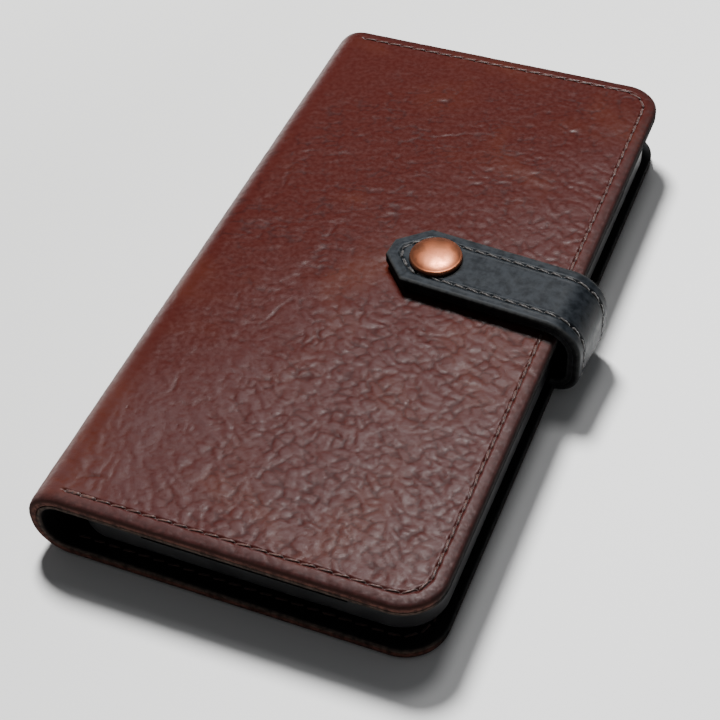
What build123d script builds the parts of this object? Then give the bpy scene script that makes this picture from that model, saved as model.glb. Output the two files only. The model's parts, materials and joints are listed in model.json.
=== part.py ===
from build123d import *
import os
from math import asin, cos, degrees, floor, radians, sin, sqrt

# Book-style leather phone case, closed, lying on its back cover.
# Millimetres. X runs from the spine to the open edge, Y from the phone's lower end to its
# camera end, Z up. The origin is the middle of the back cover's outer face.

# The phone that the tray is made for
phone_length = 158.0
phone_width = 78.0
phone_thickness = 7.4
phone_corner = 8.0

# Moulded tray that holds the phone
tray_wall = 1.8
tray_base = 1.2
tray_fit = 0.2
tape_thickness = 0.5
tape_inset = 6.0
button_notch_depth = 4.2
power_notch_length = 14.0
power_notch_from_end = 26.0
volume_notch_length = 34.0
volume_notch_from_end = 24.0
port_notch_width = 46.0
camera_width = 30.0
camera_height = 16.0
camera_inset = 5.0
camera_corner = 5.0
camera_step = 1.0

# Leather cover
leather = 2.2
lining = 1.2
pocket_leather = 0.7
end_margin = 4.0
open_margin = 1.6
spine_room = 6.4
spine_straight = 1.6
cover_corner = 9.5
closed_gap = 0.4
fold_clearance = 0.3

# Pockets inside the front cover
pocket_from_edge = 1.2
cash_pocket_from_bend = 8.3
card_pocket_depth = 58.0
card_step = 13.0
card_pocket_length = 94.0
card_pocket_shift = -18.0

# Saddle stitching
stitch_inset = 3.3
stitch_pitch = 3.5
stitch_length = 2.5
stitch_width = 0.8
stitch_height = 0.4
groove_width = 1.3
stitch_from_spine = 0.5

# Closing strap
strap_width = 18.0
strap_leather = 1.6
strap_lining = 1.6
strap_gap = 0.8
strap_reach = 6.4
strap_skew = -4.0
strap_lower_radius = 6.2
strap_upper_radius = 8.8
strap_tip_reach = 11.4
strap_tip_width = 5.0
strap_shoulder = 4.8
strap_tip_trim = 1.0
strap_base_length = 30.0
strap_bed_overrun = 5.0
strap_stitch_inset = 3.0
strap_stitch_pitch = 3.1
strap_stitch_length = 2.2
strap_fit = 0.1

# Press stud
snap_x = 13.1
snap_y = 3.5
cap_radius = 6.1
cap_height = 2.3
cap_rim = 0.7
cap_dome_width = 0.62
cap_dome_height = 0.83
post_radius = 1.7
post_fit = 0.05
socket_radius = 5.2
socket_plate = 0.4
socket_drop = 0.5
stud_disc_radius = 5.2
stud_disc = 0.6
stud_disc_sink = 0.4
stud_neck_radius = 2.1
stud_head_radius = 2.5
stud_head_height = 1.3
snap_play = 0.25
rivet_disc_radius = 4.8
rivet_disc = 0.5

os.makedirs("parts", exist_ok=True)

# Tray and cover sizes that follow from the phone
tray_width = phone_width + 2 * (tray_fit + tray_wall)
tray_length = phone_length + 2 * (tray_fit + tray_wall)
tray_corner = phone_corner + tray_fit + tray_wall
notch_cut = 3 * tray_wall
cover_width = spine_room + tray_width + open_margin
cover_length = tray_length + 2 * end_margin
open_edge = cover_width / 2
spine_face = -cover_width / 2
tray_open_side = open_edge - open_margin
tray_middle = tray_open_side - tray_width / 2

# Heights through the closed case
tape_bottom = leather + lining
tray_bottom = tape_bottom + tape_thickness
tray_floor = tray_bottom + tray_base
tray_top = tray_floor + phone_thickness + tray_fit
pocket_bottom = tray_top + closed_gap
lining_bottom = pocket_bottom + 3 * pocket_leather
front_seam = lining_bottom + lining
case_top = front_seam + leather

# Spine bends: the seam between leather and lining keeps its length as the case opens,
# so each fold axis lies on that seam, half way round its bend
bend_outer = (case_top - spine_straight) / 2
bend_seam = bend_outer - leather
bend_inner = bend_seam - lining
bend_x = spine_face + bend_outer
lower_bend = (bend_x, bend_outer)
upper_bend = (bend_x, case_top - bend_outer)
half_bend = sqrt(0.5)
lower_fold = (bend_x - bend_seam * half_bend, bend_outer - bend_seam * half_bend)
upper_fold = (lower_fold[0], case_top - lower_fold[1])
cover_section = Plane.XZ

# Closing strap, in its own frame: u runs along the strap from the press stud
strap_direction = (cos(radians(strap_skew)), sin(radians(strap_skew)), 0)
strap_across = (sin(radians(strap_skew)), -cos(radians(strap_skew)), 0)
strap_section = Plane(origin=(snap_x, snap_y, 0), x_dir=strap_direction, z_dir=strap_across)
strap_edge = (open_edge - snap_x) / cos(radians(strap_skew))
strap_outside = strap_edge + strap_reach
tab_bottom = case_top + strap_gap
tab_seam = tab_bottom + strap_lining
tab_top = tab_seam + strap_leather
lower_turn = (strap_outside - strap_lower_radius, leather + strap_lower_radius)
upper_turn = (strap_outside - strap_upper_radius, tab_top - strap_upper_radius)
lower_seam = strap_lower_radius - strap_leather
upper_seam = strap_upper_radius - strap_leather
swing_axis = (lower_turn[0] + lower_seam * half_bend, lower_turn[1] - lower_seam * half_bend)
lift_axis = (upper_turn[0] + upper_seam * half_bend, upper_turn[1] + upper_seam * half_bend)


def on_circle(centre, radius, angle):
    return (centre[0] + radius * cos(radians(angle)), centre[1] + radius * sin(radians(angle)))


def strap_plan(height):
    return Plane(origin=(snap_x, snap_y, height), x_dir=strap_direction, z_dir=(0, 0, 1))


def fold_cut(radius, thickness):
    """Angle round a bend that leaves a rounded nose of this thickness free to turn."""
    reach = (thickness + fold_clearance) / radius
    return degrees(asin(reach))


# ---- Cover profiles -------------------------------------------------------------------

def panel_outline(near_radius, far_radius, edge_x, cut, top):
    """Half bend and flat panel between two distances from the bend's centre."""
    centre = upper_bend if top else lower_bend
    side = 1 if top else -1
    tip_angle = side * (135 - cut)
    flat_angle = side * 90
    with BuildLine() as outline:
        CenterArc(centre, far_radius, tip_angle, flat_angle - tip_angle)
        Polyline(
            on_circle(centre, far_radius, flat_angle),
            (edge_x, centre[1] + side * far_radius),
            (edge_x, centre[1] + side * near_radius),
            on_circle(centre, near_radius, flat_angle),
        )
        CenterArc(centre, near_radius, flat_angle, tip_angle - flat_angle)
        Line(on_circle(centre, near_radius, tip_angle), on_circle(centre, far_radius, tip_angle))
    return outline.line


def spine_outline(far_radius, outward):
    """Spine strip between the two fold axes, with a rounded nose on each axis."""
    thickness = abs(far_radius - bend_seam)
    nose_turn = 90 if outward else -90
    low_normal = 225 if outward else 45
    with BuildLine() as outline:
        CenterArc(lower_bend, far_radius, 180, 45)
        CenterArc(lower_fold, thickness, low_normal, nose_turn)
        Line(on_circle(lower_fold, thickness, 315), lower_fold)
        CenterArc(lower_bend, bend_seam, 225, -45)
        Line(on_circle(lower_bend, bend_seam, 180), on_circle(upper_bend, bend_seam, 180))
        CenterArc(upper_bend, bend_seam, 180, -45)
        Line(upper_fold, on_circle(upper_fold, thickness, 45))
        CenterArc(upper_fold, thickness, 45, nose_turn)
        CenterArc(upper_bend, far_radius, 135, 45)
        Line(on_circle(upper_bend, far_radius, 180), on_circle(lower_bend, far_radius, 180))
    return outline.line


def edge_path(inset, start_x):
    """Stitch line: along the near end, round the open edge and back along the far end."""
    x = open_edge - inset
    y = cover_length / 2 - inset
    corner = cover_corner - inset
    with BuildLine(mode=Mode.PRIVATE) as path:
        FilletPolyline((start_x, -y), (x, -y), (x, y), (start_x, y), radius=corner)
    return path.wire()


def stitch_places(path, height, pitch):
    """Evenly spaced places along a path, each turned to the path's direction."""
    count = floor(path.length / pitch)
    places = []
    for index in range(count):
        share = (index + 0.5) / count
        point = path.position_at(share)
        angle = path.tangent_angle_at(share)
        places.append(Location((point.X, point.Y, height), (0, 0, angle)))
    return places


cover_stitches = edge_path(stitch_inset, bend_x + stitch_from_spine)
stitch_solid = (stitch_length, stitch_width, stitch_height)

# ---- Back cover -----------------------------------------------------------------------

camera_x = tray_open_side - tray_wall - tray_fit - camera_inset - camera_width / 2
camera_y = phone_length / 2 - camera_inset - camera_height / 2
cover_nose = max(leather, lining)
leather_cut = fold_cut(bend_seam, cover_nose)
lining_cut = fold_cut(bend_inner, cover_nose)


def camera_opening(margin):
    with Locations((camera_x, camera_y)):
        RectangleRounded(
            camera_width + 2 * margin, camera_height + 2 * margin, camera_corner + margin
        )


def strap_bed(length):
    """Plan of the strap's buried end, from inside the cover out past its open edge."""
    with Locations((strap_edge + (strap_bed_overrun - length) / 2, 0)):
        Rectangle(length + strap_bed_overrun, strap_width + 2 * strap_fit)


with BuildPart() as back_cover_leather:
    with BuildSketch(cover_section):
        make_face(panel_outline(bend_seam, bend_outer, open_edge, leather_cut, False).edges())
    extrude(amount=cover_length / 2, both=True)
    fillet(back_cover_leather.edges().filter_by(Axis.Z).group_by(Axis.X)[-1], cover_corner)
    with BuildSketch():
        trace(cover_stitches, line_width=groove_width)
    extrude(amount=stitch_height, mode=Mode.SUBTRACT)
    with BuildSketch():
        camera_opening(2 * camera_step)
    extrude(amount=leather, mode=Mode.SUBTRACT)

with BuildPart() as back_lining:
    with BuildSketch(cover_section):
        make_face(panel_outline(bend_inner, bend_seam, open_edge, lining_cut, False).edges())
    extrude(amount=cover_length / 2, both=True)
    fillet(back_lining.edges().filter_by(Axis.Z).group_by(Axis.X)[-1], cover_corner)
    with BuildSketch(strap_plan(leather)):
        strap_bed(strap_base_length + strap_fit)
    extrude(amount=lining, mode=Mode.SUBTRACT)
    with BuildSketch(Plane.XY.offset(leather)):
        camera_opening(camera_step)
    extrude(amount=lining, mode=Mode.SUBTRACT)

with BuildPart() as tray_tape:
    with BuildSketch(Plane.XY.offset(tape_bottom)):
        with Locations((tray_middle, 0)):
            RectangleRounded(
                tray_width - 2 * tape_inset, tray_length - 2 * tape_inset, tray_corner / 2
            )
        with Locations((camera_x, camera_y)):
            Rectangle(camera_width + tape_inset, camera_height + tape_inset, mode=Mode.SUBTRACT)
    extrude(amount=tape_thickness)
    with BuildSketch(strap_plan(tape_bottom)):
        strap_bed(strap_base_length + strap_fit)
    extrude(amount=tape_thickness, mode=Mode.SUBTRACT)

with BuildPart() as phone_tray:
    with BuildSketch(Plane.XY.offset(tray_bottom)):
        with Locations((tray_middle, 0)):
            RectangleRounded(tray_width, tray_length, tray_corner)
    extrude(amount=tray_top - tray_bottom)
    fillet(phone_tray.faces().sort_by(Axis.Z)[0].edges(), tray_base)
    with BuildSketch(Plane.XY.offset(tray_floor)):
        with Locations((tray_middle, 0)):
            RectangleRounded(
                phone_width + 2 * tray_fit, phone_length + 2 * tray_fit, phone_corner
            )
    extrude(amount=tray_top - tray_floor, mode=Mode.SUBTRACT)
    with BuildSketch(Plane.XY.offset(tray_bottom)):
        camera_opening(0)
    extrude(amount=tray_base, mode=Mode.SUBTRACT)
    with BuildSketch(Plane.XY.offset(tray_top)):
        power_y = tray_length / 2 - power_notch_from_end - power_notch_length / 2
        with Locations((tray_middle + tray_width / 2, power_y)):
            Rectangle(notch_cut, power_notch_length)
        volume_y = tray_length / 2 - volume_notch_from_end - volume_notch_length / 2
        with Locations((tray_middle - tray_width / 2, volume_y)):
            Rectangle(notch_cut, volume_notch_length)
        with Locations((tray_middle, -tray_length / 2)):
            Rectangle(port_notch_width, notch_cut)
    extrude(amount=-button_notch_depth, mode=Mode.SUBTRACT)

# ---- Spine ----------------------------------------------------------------------------

with BuildPart() as spine_leather:
    with BuildSketch(cover_section):
        make_face(spine_outline(bend_outer, True).edges())
    extrude(amount=cover_length / 2, both=True)

with BuildPart() as spine_lining:
    with BuildSketch(cover_section):
        make_face(spine_outline(bend_inner, False).edges())
    extrude(amount=cover_length / 2, both=True)

# ---- Front cover ----------------------------------------------------------------------

stud_seat = case_top - stud_disc_sink

with BuildPart() as front_cover_leather:
    with BuildSketch(cover_section):
        make_face(panel_outline(bend_seam, bend_outer, open_edge, leather_cut, True).edges())
    extrude(amount=cover_length / 2, both=True)
    fillet(front_cover_leather.edges().filter_by(Axis.Z).group_by(Axis.X)[-1], cover_corner)
    with BuildSketch(Plane.XY.offset(case_top)):
        trace(cover_stitches, line_width=groove_width)
    extrude(amount=-stitch_height, mode=Mode.SUBTRACT)
    with BuildSketch(Plane.XY.offset(front_seam)):
        with Locations((snap_x, snap_y)):
            Circle(post_radius + post_fit)
    extrude(amount=leather, mode=Mode.SUBTRACT)
    with BuildSketch(Plane.XY.offset(stud_seat)):
        with Locations((snap_x, snap_y)):
            Circle(stud_disc_radius + post_fit)
    extrude(amount=stud_disc_sink, mode=Mode.SUBTRACT)

with BuildPart() as front_lining:
    with BuildSketch(cover_section):
        make_face(panel_outline(bend_inner, bend_seam, open_edge, lining_cut, True).edges())
    extrude(amount=cover_length / 2, both=True)
    fillet(front_lining.edges().filter_by(Axis.Z).group_by(Axis.X)[-1], cover_corner)
    with BuildSketch(Plane.XY.offset(front_seam)):
        with Locations((snap_x, snap_y)):
            Circle(rivet_disc_radius + post_fit)
    extrude(amount=-rivet_disc, mode=Mode.SUBTRACT)


def pocket_plan(depth, length, shift):
    """Pocket leaf against the open edge, its mouth facing the spine."""
    right = open_edge - pocket_from_edge
    with Locations((right - depth / 2, shift)):
        Rectangle(depth, length)


pocket_length = cover_length - 2 * pocket_from_edge
cash_pocket_depth = open_edge - pocket_from_edge - bend_x - cash_pocket_from_bend
pocket_corner = cover_corner - pocket_from_edge

with BuildPart() as cash_pocket:
    with BuildSketch(Plane.XY.offset(lining_bottom - pocket_leather)):
        pocket_plan(cash_pocket_depth, pocket_length, 0)
    extrude(amount=pocket_leather)
    fillet(cash_pocket.edges().filter_by(Axis.Z).group_by(Axis.X)[-1], pocket_corner)

with BuildPart() as card_pocket_rear:
    with BuildSketch(Plane.XY.offset(lining_bottom - 2 * pocket_leather)):
        pocket_plan(card_pocket_depth, card_pocket_length, card_pocket_shift)
    extrude(amount=pocket_leather)

with BuildPart() as card_pocket_front:
    with BuildSketch(Plane.XY.offset(pocket_bottom)):
        pocket_plan(card_pocket_depth - card_step, card_pocket_length, card_pocket_shift)
    extrude(amount=pocket_leather)

# ---- Stitching ------------------------------------------------------------------------

with BuildPart() as back_cover_stitches:
    with Locations(*stitch_places(cover_stitches, stitch_height / 2, stitch_pitch)):
        Box(*stitch_solid)

with BuildPart() as front_cover_stitches:
    with Locations(
        *stitch_places(cover_stitches, case_top - stitch_height / 2, stitch_pitch)
    ):
        Box(*stitch_solid)

pocket_right = tray_open_side - 2 * tray_wall
pocket_left = open_edge - pocket_from_edge - card_pocket_depth + card_step + stitch_width
pocket_rows = []
for pocket_end in (-1, 1):
    row_y = card_pocket_shift + pocket_end * (card_pocket_length / 2 - stitch_inset)
    with BuildLine(mode=Mode.PRIVATE) as pocket_row:
        Line((pocket_left, row_y), (pocket_right, row_y))
    pocket_rows += stitch_places(pocket_row.wire(), pocket_bottom - stitch_height / 2, stitch_pitch)

with BuildPart() as card_pocket_stitches:
    with Locations(*pocket_rows):
        Box(*stitch_solid)

# ---- Closing strap --------------------------------------------------------------------


def side_outline(lower_radius, upper_radius, outward):
    """Strap side between its two fold axes, with a rounded nose on each axis."""
    thickness = abs(lower_radius - lower_seam)
    nose_turn = -90 if outward else 90
    low_normal = 315 if outward else 135
    with BuildLine() as outline:
        CenterArc(lower_turn, lower_radius, 0, -45)
        CenterArc(swing_axis, thickness, low_normal, nose_turn)
        Line(on_circle(swing_axis, thickness, 225), swing_axis)
        CenterArc(lower_turn, lower_seam, 315, 45)
        Line(on_circle(lower_turn, lower_seam, 0), on_circle(upper_turn, upper_seam, 0))
        CenterArc(upper_turn, upper_seam, 0, 45)
        Line(lift_axis, on_circle(lift_axis, thickness, 135))
        CenterArc(lift_axis, thickness, 135, nose_turn)
        CenterArc(upper_turn, upper_radius, 45, -45)
        Line(on_circle(upper_turn, upper_radius, 0), on_circle(lower_turn, lower_radius, 0))
    return outline.line


lining_lower = lower_seam - strap_lining
lining_upper = upper_seam - strap_lining
strap_nose = max(strap_leather, strap_lining)
base_cut = fold_cut(lower_seam, strap_nose)
tab_cut = fold_cut(upper_seam, strap_nose)
tab_lining_cut = fold_cut(lining_upper, strap_nose)
strap_inner_end = strap_edge - strap_base_length

with BuildPart() as strap_base:
    with BuildSketch(strap_section):
        with BuildLine():
            CenterArc(lower_turn, strap_lower_radius, -90, 45 - base_cut)
            Line(
                on_circle(lower_turn, strap_lower_radius, -45 - base_cut),
                on_circle(lower_turn, lower_seam, -45 - base_cut),
            )
            CenterArc(lower_turn, lower_seam, -45 - base_cut, base_cut - 45)
            Polyline(
                on_circle(lower_turn, lower_seam, -90),
                (strap_inner_end, leather + strap_leather),
                (strap_inner_end, leather),
                on_circle(lower_turn, strap_lower_radius, -90),
            )
        make_face()
    extrude(amount=strap_width / 2, both=True)

with BuildPart() as strap_side_leather:
    with BuildSketch(strap_section):
        make_face(side_outline(strap_lower_radius, strap_upper_radius, True).edges())
    extrude(amount=strap_width / 2, both=True)

with BuildPart() as strap_side_lining:
    with BuildSketch(strap_section):
        make_face(side_outline(lining_lower, lining_upper, False).edges())
    extrude(amount=strap_width / 2, both=True)


def tab_plan():
    """Plan of the tab: parallel sides, sloping shoulders and a blunt tip."""
    half = strap_width / 2
    blunt = strap_tip_width / 2
    with BuildLine() as outline:
        Polyline(
            (strap_outside, -half),
            (-strap_shoulder, -half),
            (-strap_tip_reach, -blunt),
            (-strap_tip_reach, blunt),
            (-strap_shoulder, half),
            (strap_outside, half),
            close=True,
        )
    return outline.line


def tab_section(near_radius, far_radius, cut):
    """Flat tab and the half bend that leads into the strap's side."""
    with BuildLine() as outline:
        CenterArc(upper_turn, far_radius, 90, cut - 45)
        Line(
            on_circle(upper_turn, far_radius, 45 + cut),
            on_circle(upper_turn, near_radius, 45 + cut),
        )
        CenterArc(upper_turn, near_radius, 45 + cut, 45 - cut)
        Polyline(
            on_circle(upper_turn, near_radius, 90),
            (-strap_tip_reach - strap_tip_trim, upper_turn[1] + near_radius),
            (-strap_tip_reach - strap_tip_trim, upper_turn[1] + far_radius),
            on_circle(upper_turn, far_radius, 90),
        )
    return outline.line


with BuildPart() as strap_tab_leather:
    with BuildSketch(strap_section):
        make_face(tab_section(upper_seam, strap_upper_radius, tab_cut).edges())
    extrude(amount=strap_width / 2, both=True)
    with BuildSketch(strap_plan(tab_bottom - strap_upper_radius)):
        make_face(tab_plan().edges())
    extrude(amount=2 * strap_upper_radius, mode=Mode.INTERSECT)
    with BuildSketch(strap_plan(tab_seam)):
        Circle(post_radius + post_fit)
    extrude(amount=strap_leather, mode=Mode.SUBTRACT)

with BuildPart() as strap_tab_lining:
    with BuildSketch(strap_section):
        make_face(tab_section(lining_upper, upper_seam, tab_lining_cut).edges())
    extrude(amount=strap_width / 2, both=True)
    with BuildSketch(strap_plan(tab_bottom - strap_upper_radius)):
        make_face(tab_plan().edges())
    extrude(amount=2 * strap_upper_radius, mode=Mode.INTERSECT)
    with BuildSketch(strap_plan(tab_bottom)):
        Circle(socket_radius + post_fit)
    extrude(amount=strap_lining, mode=Mode.SUBTRACT)

row_offset = strap_width / 2 - strap_stitch_inset
row_clear = cap_radius + stitch_width
row_start = sqrt(max(row_clear**2 - row_offset**2, 0))
row_end = upper_turn[0]

with BuildLine(mode=Mode.PRIVATE) as near_row:
    Line((row_start, -row_offset), (row_end, -row_offset))

with BuildLine(mode=Mode.PRIVATE) as far_row:
    Line((row_start, row_offset), (row_end, row_offset))

strap_stitch = (strap_stitch_length, stitch_width, stitch_height)

with BuildPart(strap_plan(tab_top)) as strap_tab_stitches:
    for row in (near_row.wire(), far_row.wire()):
        with Locations(*stitch_places(row, stitch_height / 2, strap_stitch_pitch)):
            Box(*strap_stitch)

with BuildPart(strap_plan(0)) as strap_side_stitches:
    wall_middle = (lower_turn[1] + upper_turn[1]) / 2
    with Locations((strap_outside + stitch_height / 2, 0, wall_middle)):
        with GridLocations(1, 2 * row_offset, 1, 2):
            with Locations(*[(0, 0, step * strap_stitch_pitch) for step in (-1, 0, 1)]):
                Box(stitch_height, stitch_width, strap_stitch_length)

# ---- Press stud -----------------------------------------------------------------------

socket_top = tab_seam
socket_bottom = tab_bottom - socket_drop
stud_top = stud_seat + stud_disc + stud_head_height

with BuildPart() as snap_cap:
    with BuildSketch(strap_section):
        with BuildLine():
            dome = ThreePointArc(
                (0, tab_top + cap_height),
                (cap_radius * cap_dome_width, tab_top + cap_height * cap_dome_height),
                (cap_radius, tab_top + cap_rim),
            )
            Polyline(
                dome @ 1,
                (cap_radius, tab_top),
                (post_radius, tab_top),
                (post_radius, socket_top - socket_plate),
                (0, socket_top - socket_plate),
                dome @ 0,
            )
        make_face()
    revolve(axis=Axis((snap_x, snap_y, 0), (0, 0, 1)))

with BuildPart() as snap_socket:
    with BuildSketch(strap_plan(socket_bottom)):
        Circle(socket_radius)
    extrude(amount=socket_top - socket_bottom)
    with BuildSketch(strap_plan(socket_bottom)):
        Circle(stud_head_radius + snap_play)
    extrude(amount=socket_top - socket_plate - socket_bottom, mode=Mode.SUBTRACT)
    with BuildSketch(strap_plan(socket_top - socket_plate)):
        Circle(post_radius + post_fit)
    extrude(amount=socket_plate, mode=Mode.SUBTRACT)

with BuildPart() as snap_stud:
    with BuildSketch(strap_plan(stud_seat)):
        Circle(stud_disc_radius)
    extrude(amount=stud_disc)
    with BuildSketch(strap_plan(stud_seat + stud_disc)):
        Circle(stud_neck_radius)
    extrude(amount=stud_head_height)
    with BuildSketch(strap_plan(stud_top - stud_head_height / 2)):
        Circle(stud_head_radius)
    extrude(amount=stud_head_height / 2)

with BuildPart() as snap_rivet:
    with BuildSketch(strap_plan(front_seam - rivet_disc)):
        Circle(rivet_disc_radius)
    extrude(amount=rivet_disc)
    with BuildSketch(strap_plan(front_seam)):
        Circle(post_radius)
    extrude(amount=stud_seat - front_seam)

pieces = {
    "back_cover_leather": back_cover_leather,
    "back_lining": back_lining,
    "tray_tape": tray_tape,
    "phone_tray": phone_tray,
    "spine_leather": spine_leather,
    "spine_lining": spine_lining,
    "front_cover_leather": front_cover_leather,
    "front_lining": front_lining,
    "cash_pocket": cash_pocket,
    "card_pocket_rear": card_pocket_rear,
    "card_pocket_front": card_pocket_front,
    "back_cover_stitches": back_cover_stitches,
    "front_cover_stitches": front_cover_stitches,
    "card_pocket_stitches": card_pocket_stitches,
    "strap_base": strap_base,
    "strap_side_leather": strap_side_leather,
    "strap_side_lining": strap_side_lining,
    "strap_tab_leather": strap_tab_leather,
    "strap_tab_lining": strap_tab_lining,
    "strap_side_stitches": strap_side_stitches,
    "strap_tab_stitches": strap_tab_stitches,
    "snap_cap": snap_cap,
    "snap_socket": snap_socket,
    "snap_stud": snap_stud,
    "snap_rivet": snap_rivet,
}

for name, piece in pieces.items():
    piece.part.label = name
    export_step(piece.part, f"parts/{name}.step")

print("case", round(cover_width, 2), "x", round(cover_length, 2), "x", round(case_top, 2))
print("fold axes", lower_fold, upper_fold)
print("strap axes, along the strap and up", swing_axis, lift_axis)
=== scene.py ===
import json
import math

import bmesh
import bpy
import numpy as np
from mathutils import Matrix, Vector


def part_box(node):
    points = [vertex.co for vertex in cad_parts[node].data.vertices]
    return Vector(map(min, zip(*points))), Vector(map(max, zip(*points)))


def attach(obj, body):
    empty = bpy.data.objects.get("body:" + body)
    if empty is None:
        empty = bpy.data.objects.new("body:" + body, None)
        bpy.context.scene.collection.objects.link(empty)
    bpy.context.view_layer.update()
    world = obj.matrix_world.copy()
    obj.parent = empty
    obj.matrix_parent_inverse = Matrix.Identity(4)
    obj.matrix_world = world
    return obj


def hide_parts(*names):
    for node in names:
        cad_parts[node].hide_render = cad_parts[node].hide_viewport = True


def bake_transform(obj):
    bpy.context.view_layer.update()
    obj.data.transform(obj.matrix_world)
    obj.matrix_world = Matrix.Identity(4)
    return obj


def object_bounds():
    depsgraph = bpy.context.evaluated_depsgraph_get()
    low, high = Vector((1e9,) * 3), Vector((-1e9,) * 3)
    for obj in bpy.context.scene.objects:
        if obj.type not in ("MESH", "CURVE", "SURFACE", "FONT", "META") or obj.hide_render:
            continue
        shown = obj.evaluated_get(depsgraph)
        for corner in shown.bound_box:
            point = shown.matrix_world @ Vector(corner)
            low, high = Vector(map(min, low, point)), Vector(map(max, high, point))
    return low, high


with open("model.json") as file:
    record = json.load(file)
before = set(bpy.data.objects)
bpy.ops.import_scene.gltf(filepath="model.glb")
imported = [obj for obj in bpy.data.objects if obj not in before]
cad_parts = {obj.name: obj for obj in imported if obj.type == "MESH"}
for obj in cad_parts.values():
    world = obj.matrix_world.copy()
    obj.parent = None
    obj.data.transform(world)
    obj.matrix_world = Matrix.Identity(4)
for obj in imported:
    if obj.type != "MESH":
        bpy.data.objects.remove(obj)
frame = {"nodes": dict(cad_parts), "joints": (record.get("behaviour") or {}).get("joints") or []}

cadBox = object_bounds()
mm = 0.001
print("frame loaded", [round(v / mm, 1) for corner in cadBox for v in corner])

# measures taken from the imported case
joints = {joint["name"]: joint for joint in frame["joints"]}
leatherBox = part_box("front_cover_leather")
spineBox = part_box("spine_leather")
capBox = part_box("snap_cap")
caseTop = leatherBox[1][2]
openEdge = leatherBox[1][0]
halfLength = leatherBox[1][1]
spineFace = spineBox[0][0]
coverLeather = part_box("back_lining")[0][2]
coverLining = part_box("tray_tape")[0][2] - coverLeather
halfRoot = math.sqrt(0.5)
foldHeight = joints["spine_fold"]["pos_m"][2]
bendOuter = (foldHeight - halfRoot * coverLeather) / (1 - halfRoot)
bendSeam = bendOuter - coverLeather
bendX = spineFace + bendOuter
spineHalf = caseTop / 2 - bendOuter
snapCentre = ((capBox[0][0] + capBox[1][0]) / 2, (capBox[0][1] + capBox[1][1]) / 2)
capRadius = (capBox[1][0] - capBox[0][0]) / 2


def smoothStep(low, high, value):
    t = np.clip((value - low) / (high - low), 0, 1)
    return t * t * (3 - 2 * t)


def hashNoise(ix, iy, seed):
    # a fixed number from 0 to 1 for each corner of a grid
    a = ix.astype(np.int64) * 374761393 + iy.astype(np.int64) * 668265263 + seed * 974634777
    a = a & 0xFFFFFFFF
    a = ((a ^ (a >> 13)) * 1274126177) & 0xFFFFFFFF
    return ((a ^ (a >> 16)) & 0xFFFFFF) / 0xFFFFFF


def waveNoise(x, y, seed):
    # soft hills and hollows about one unit across, from about -1 to 1
    ix, iy = np.floor(x), np.floor(y)
    fx, fy = x - ix, y - iy
    total = 0
    wx, wy = fx ** 3 * (fx * (fx * 6 - 15) + 10), fy ** 3 * (fy * (fy * 6 - 15) + 10)
    for dx in (0, 1):
        for dy in (0, 1):
            turn = hashNoise(ix + dx, iy + dy, seed) * 2 * math.pi
            slope = np.cos(turn) * (fx - dx) + np.sin(turn) * (fy - dy)
            total = total + slope * (wx if dx else 1 - wx) * (wy if dy else 1 - wy)
    return total * 1.5


def layeredNoise(x, y, seed, layers=3):
    # each further layer is half as large and half as high
    total, size = 0, 1.0
    for layer in range(layers):
        total = total + size * waveNoise(x / size, y / size, seed + layer)
        size *= 0.5
    return total / 1.6


def cellNoise(x, y, seed):
    # how far the nearest and the next nearest of the scattered cell centres are
    ix, iy = np.floor(x), np.floor(y)
    nearest = np.full(x.shape, 9.0)
    second = np.full(x.shape, 9.0)
    for dx in (-1, 0, 1):
        for dy in (-1, 0, 1):
            cx, cy = ix + dx, iy + dy
            px = cx + 0.15 + 0.7 * hashNoise(cx, cy, seed)
            py = cy + 0.15 + 0.7 * hashNoise(cx, cy, seed + 7)
            gap = np.hypot(x - px, y - py)
            second = np.minimum(second, np.maximum(nearest, gap))
            nearest = np.minimum(nearest, gap)
    return nearest, second


# rows close together where a cut edge rounds over, and the same with a stitching groove behind it
edgeRows = np.array([0, 0.05, 0.13, 0.24, 0.38, 0.55, 0.75, 1.0]) * mm
behindEdge, underGroove = np.arange(1.35, 2.5, 0.35) * mm, np.arange(2.6, 4.1, 0.15) * mm
grooveRows = np.concatenate([edgeRows, behindEdge, underGroove])
plainRows = np.array([0.0])


def gridLines(low, high, step, rowsLow, rowsHigh):
    lowRows = low + rowsLow
    highRows = (high - rowsHigh)[::-1]
    count = max(2, round((highRows[0] - lowRows[-1]) / step))
    middle = np.linspace(lowRows[-1], highRows[0], count + 1)[1:-1]
    return np.concatenate([lowRows, middle, highRows])


def roundedPanel(sLines, vLines, corner):
    # pattern points, their distance in from the cut edge, and the way out to it
    s, v = np.meshgrid(sLines, vLines, indexing="ij")
    sEnd, vEnd = sLines[-1], vLines[-1]
    a = (s - (sEnd - corner)) / corner
    b = (np.abs(v) - (vEnd - corner)) / corner
    inCorner = (a > 0) & (b > 0)
    reach = np.maximum(a, b)
    span = np.maximum(np.hypot(a, b), 1e-9)
    side = np.sign(v)
    sRound = sEnd - corner + a / span * reach * corner
    vRound = side * (vEnd - corner + b / span * reach * corner)
    inward = np.where(inCorner, corner * (1 - reach), np.minimum(sEnd - s, vEnd - np.abs(v)))
    atEnd = (sEnd - s) < (vEnd - np.abs(v))
    outS = np.where(inCorner, a / span, np.where(atEnd, 1.0, 0.0))
    outV = np.where(inCorner, side * b / span, np.where(atEnd, 0.0, side))
    return np.where(inCorner, sRound, s), np.where(inCorner, vRound, v), inward, outS, outV


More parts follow.
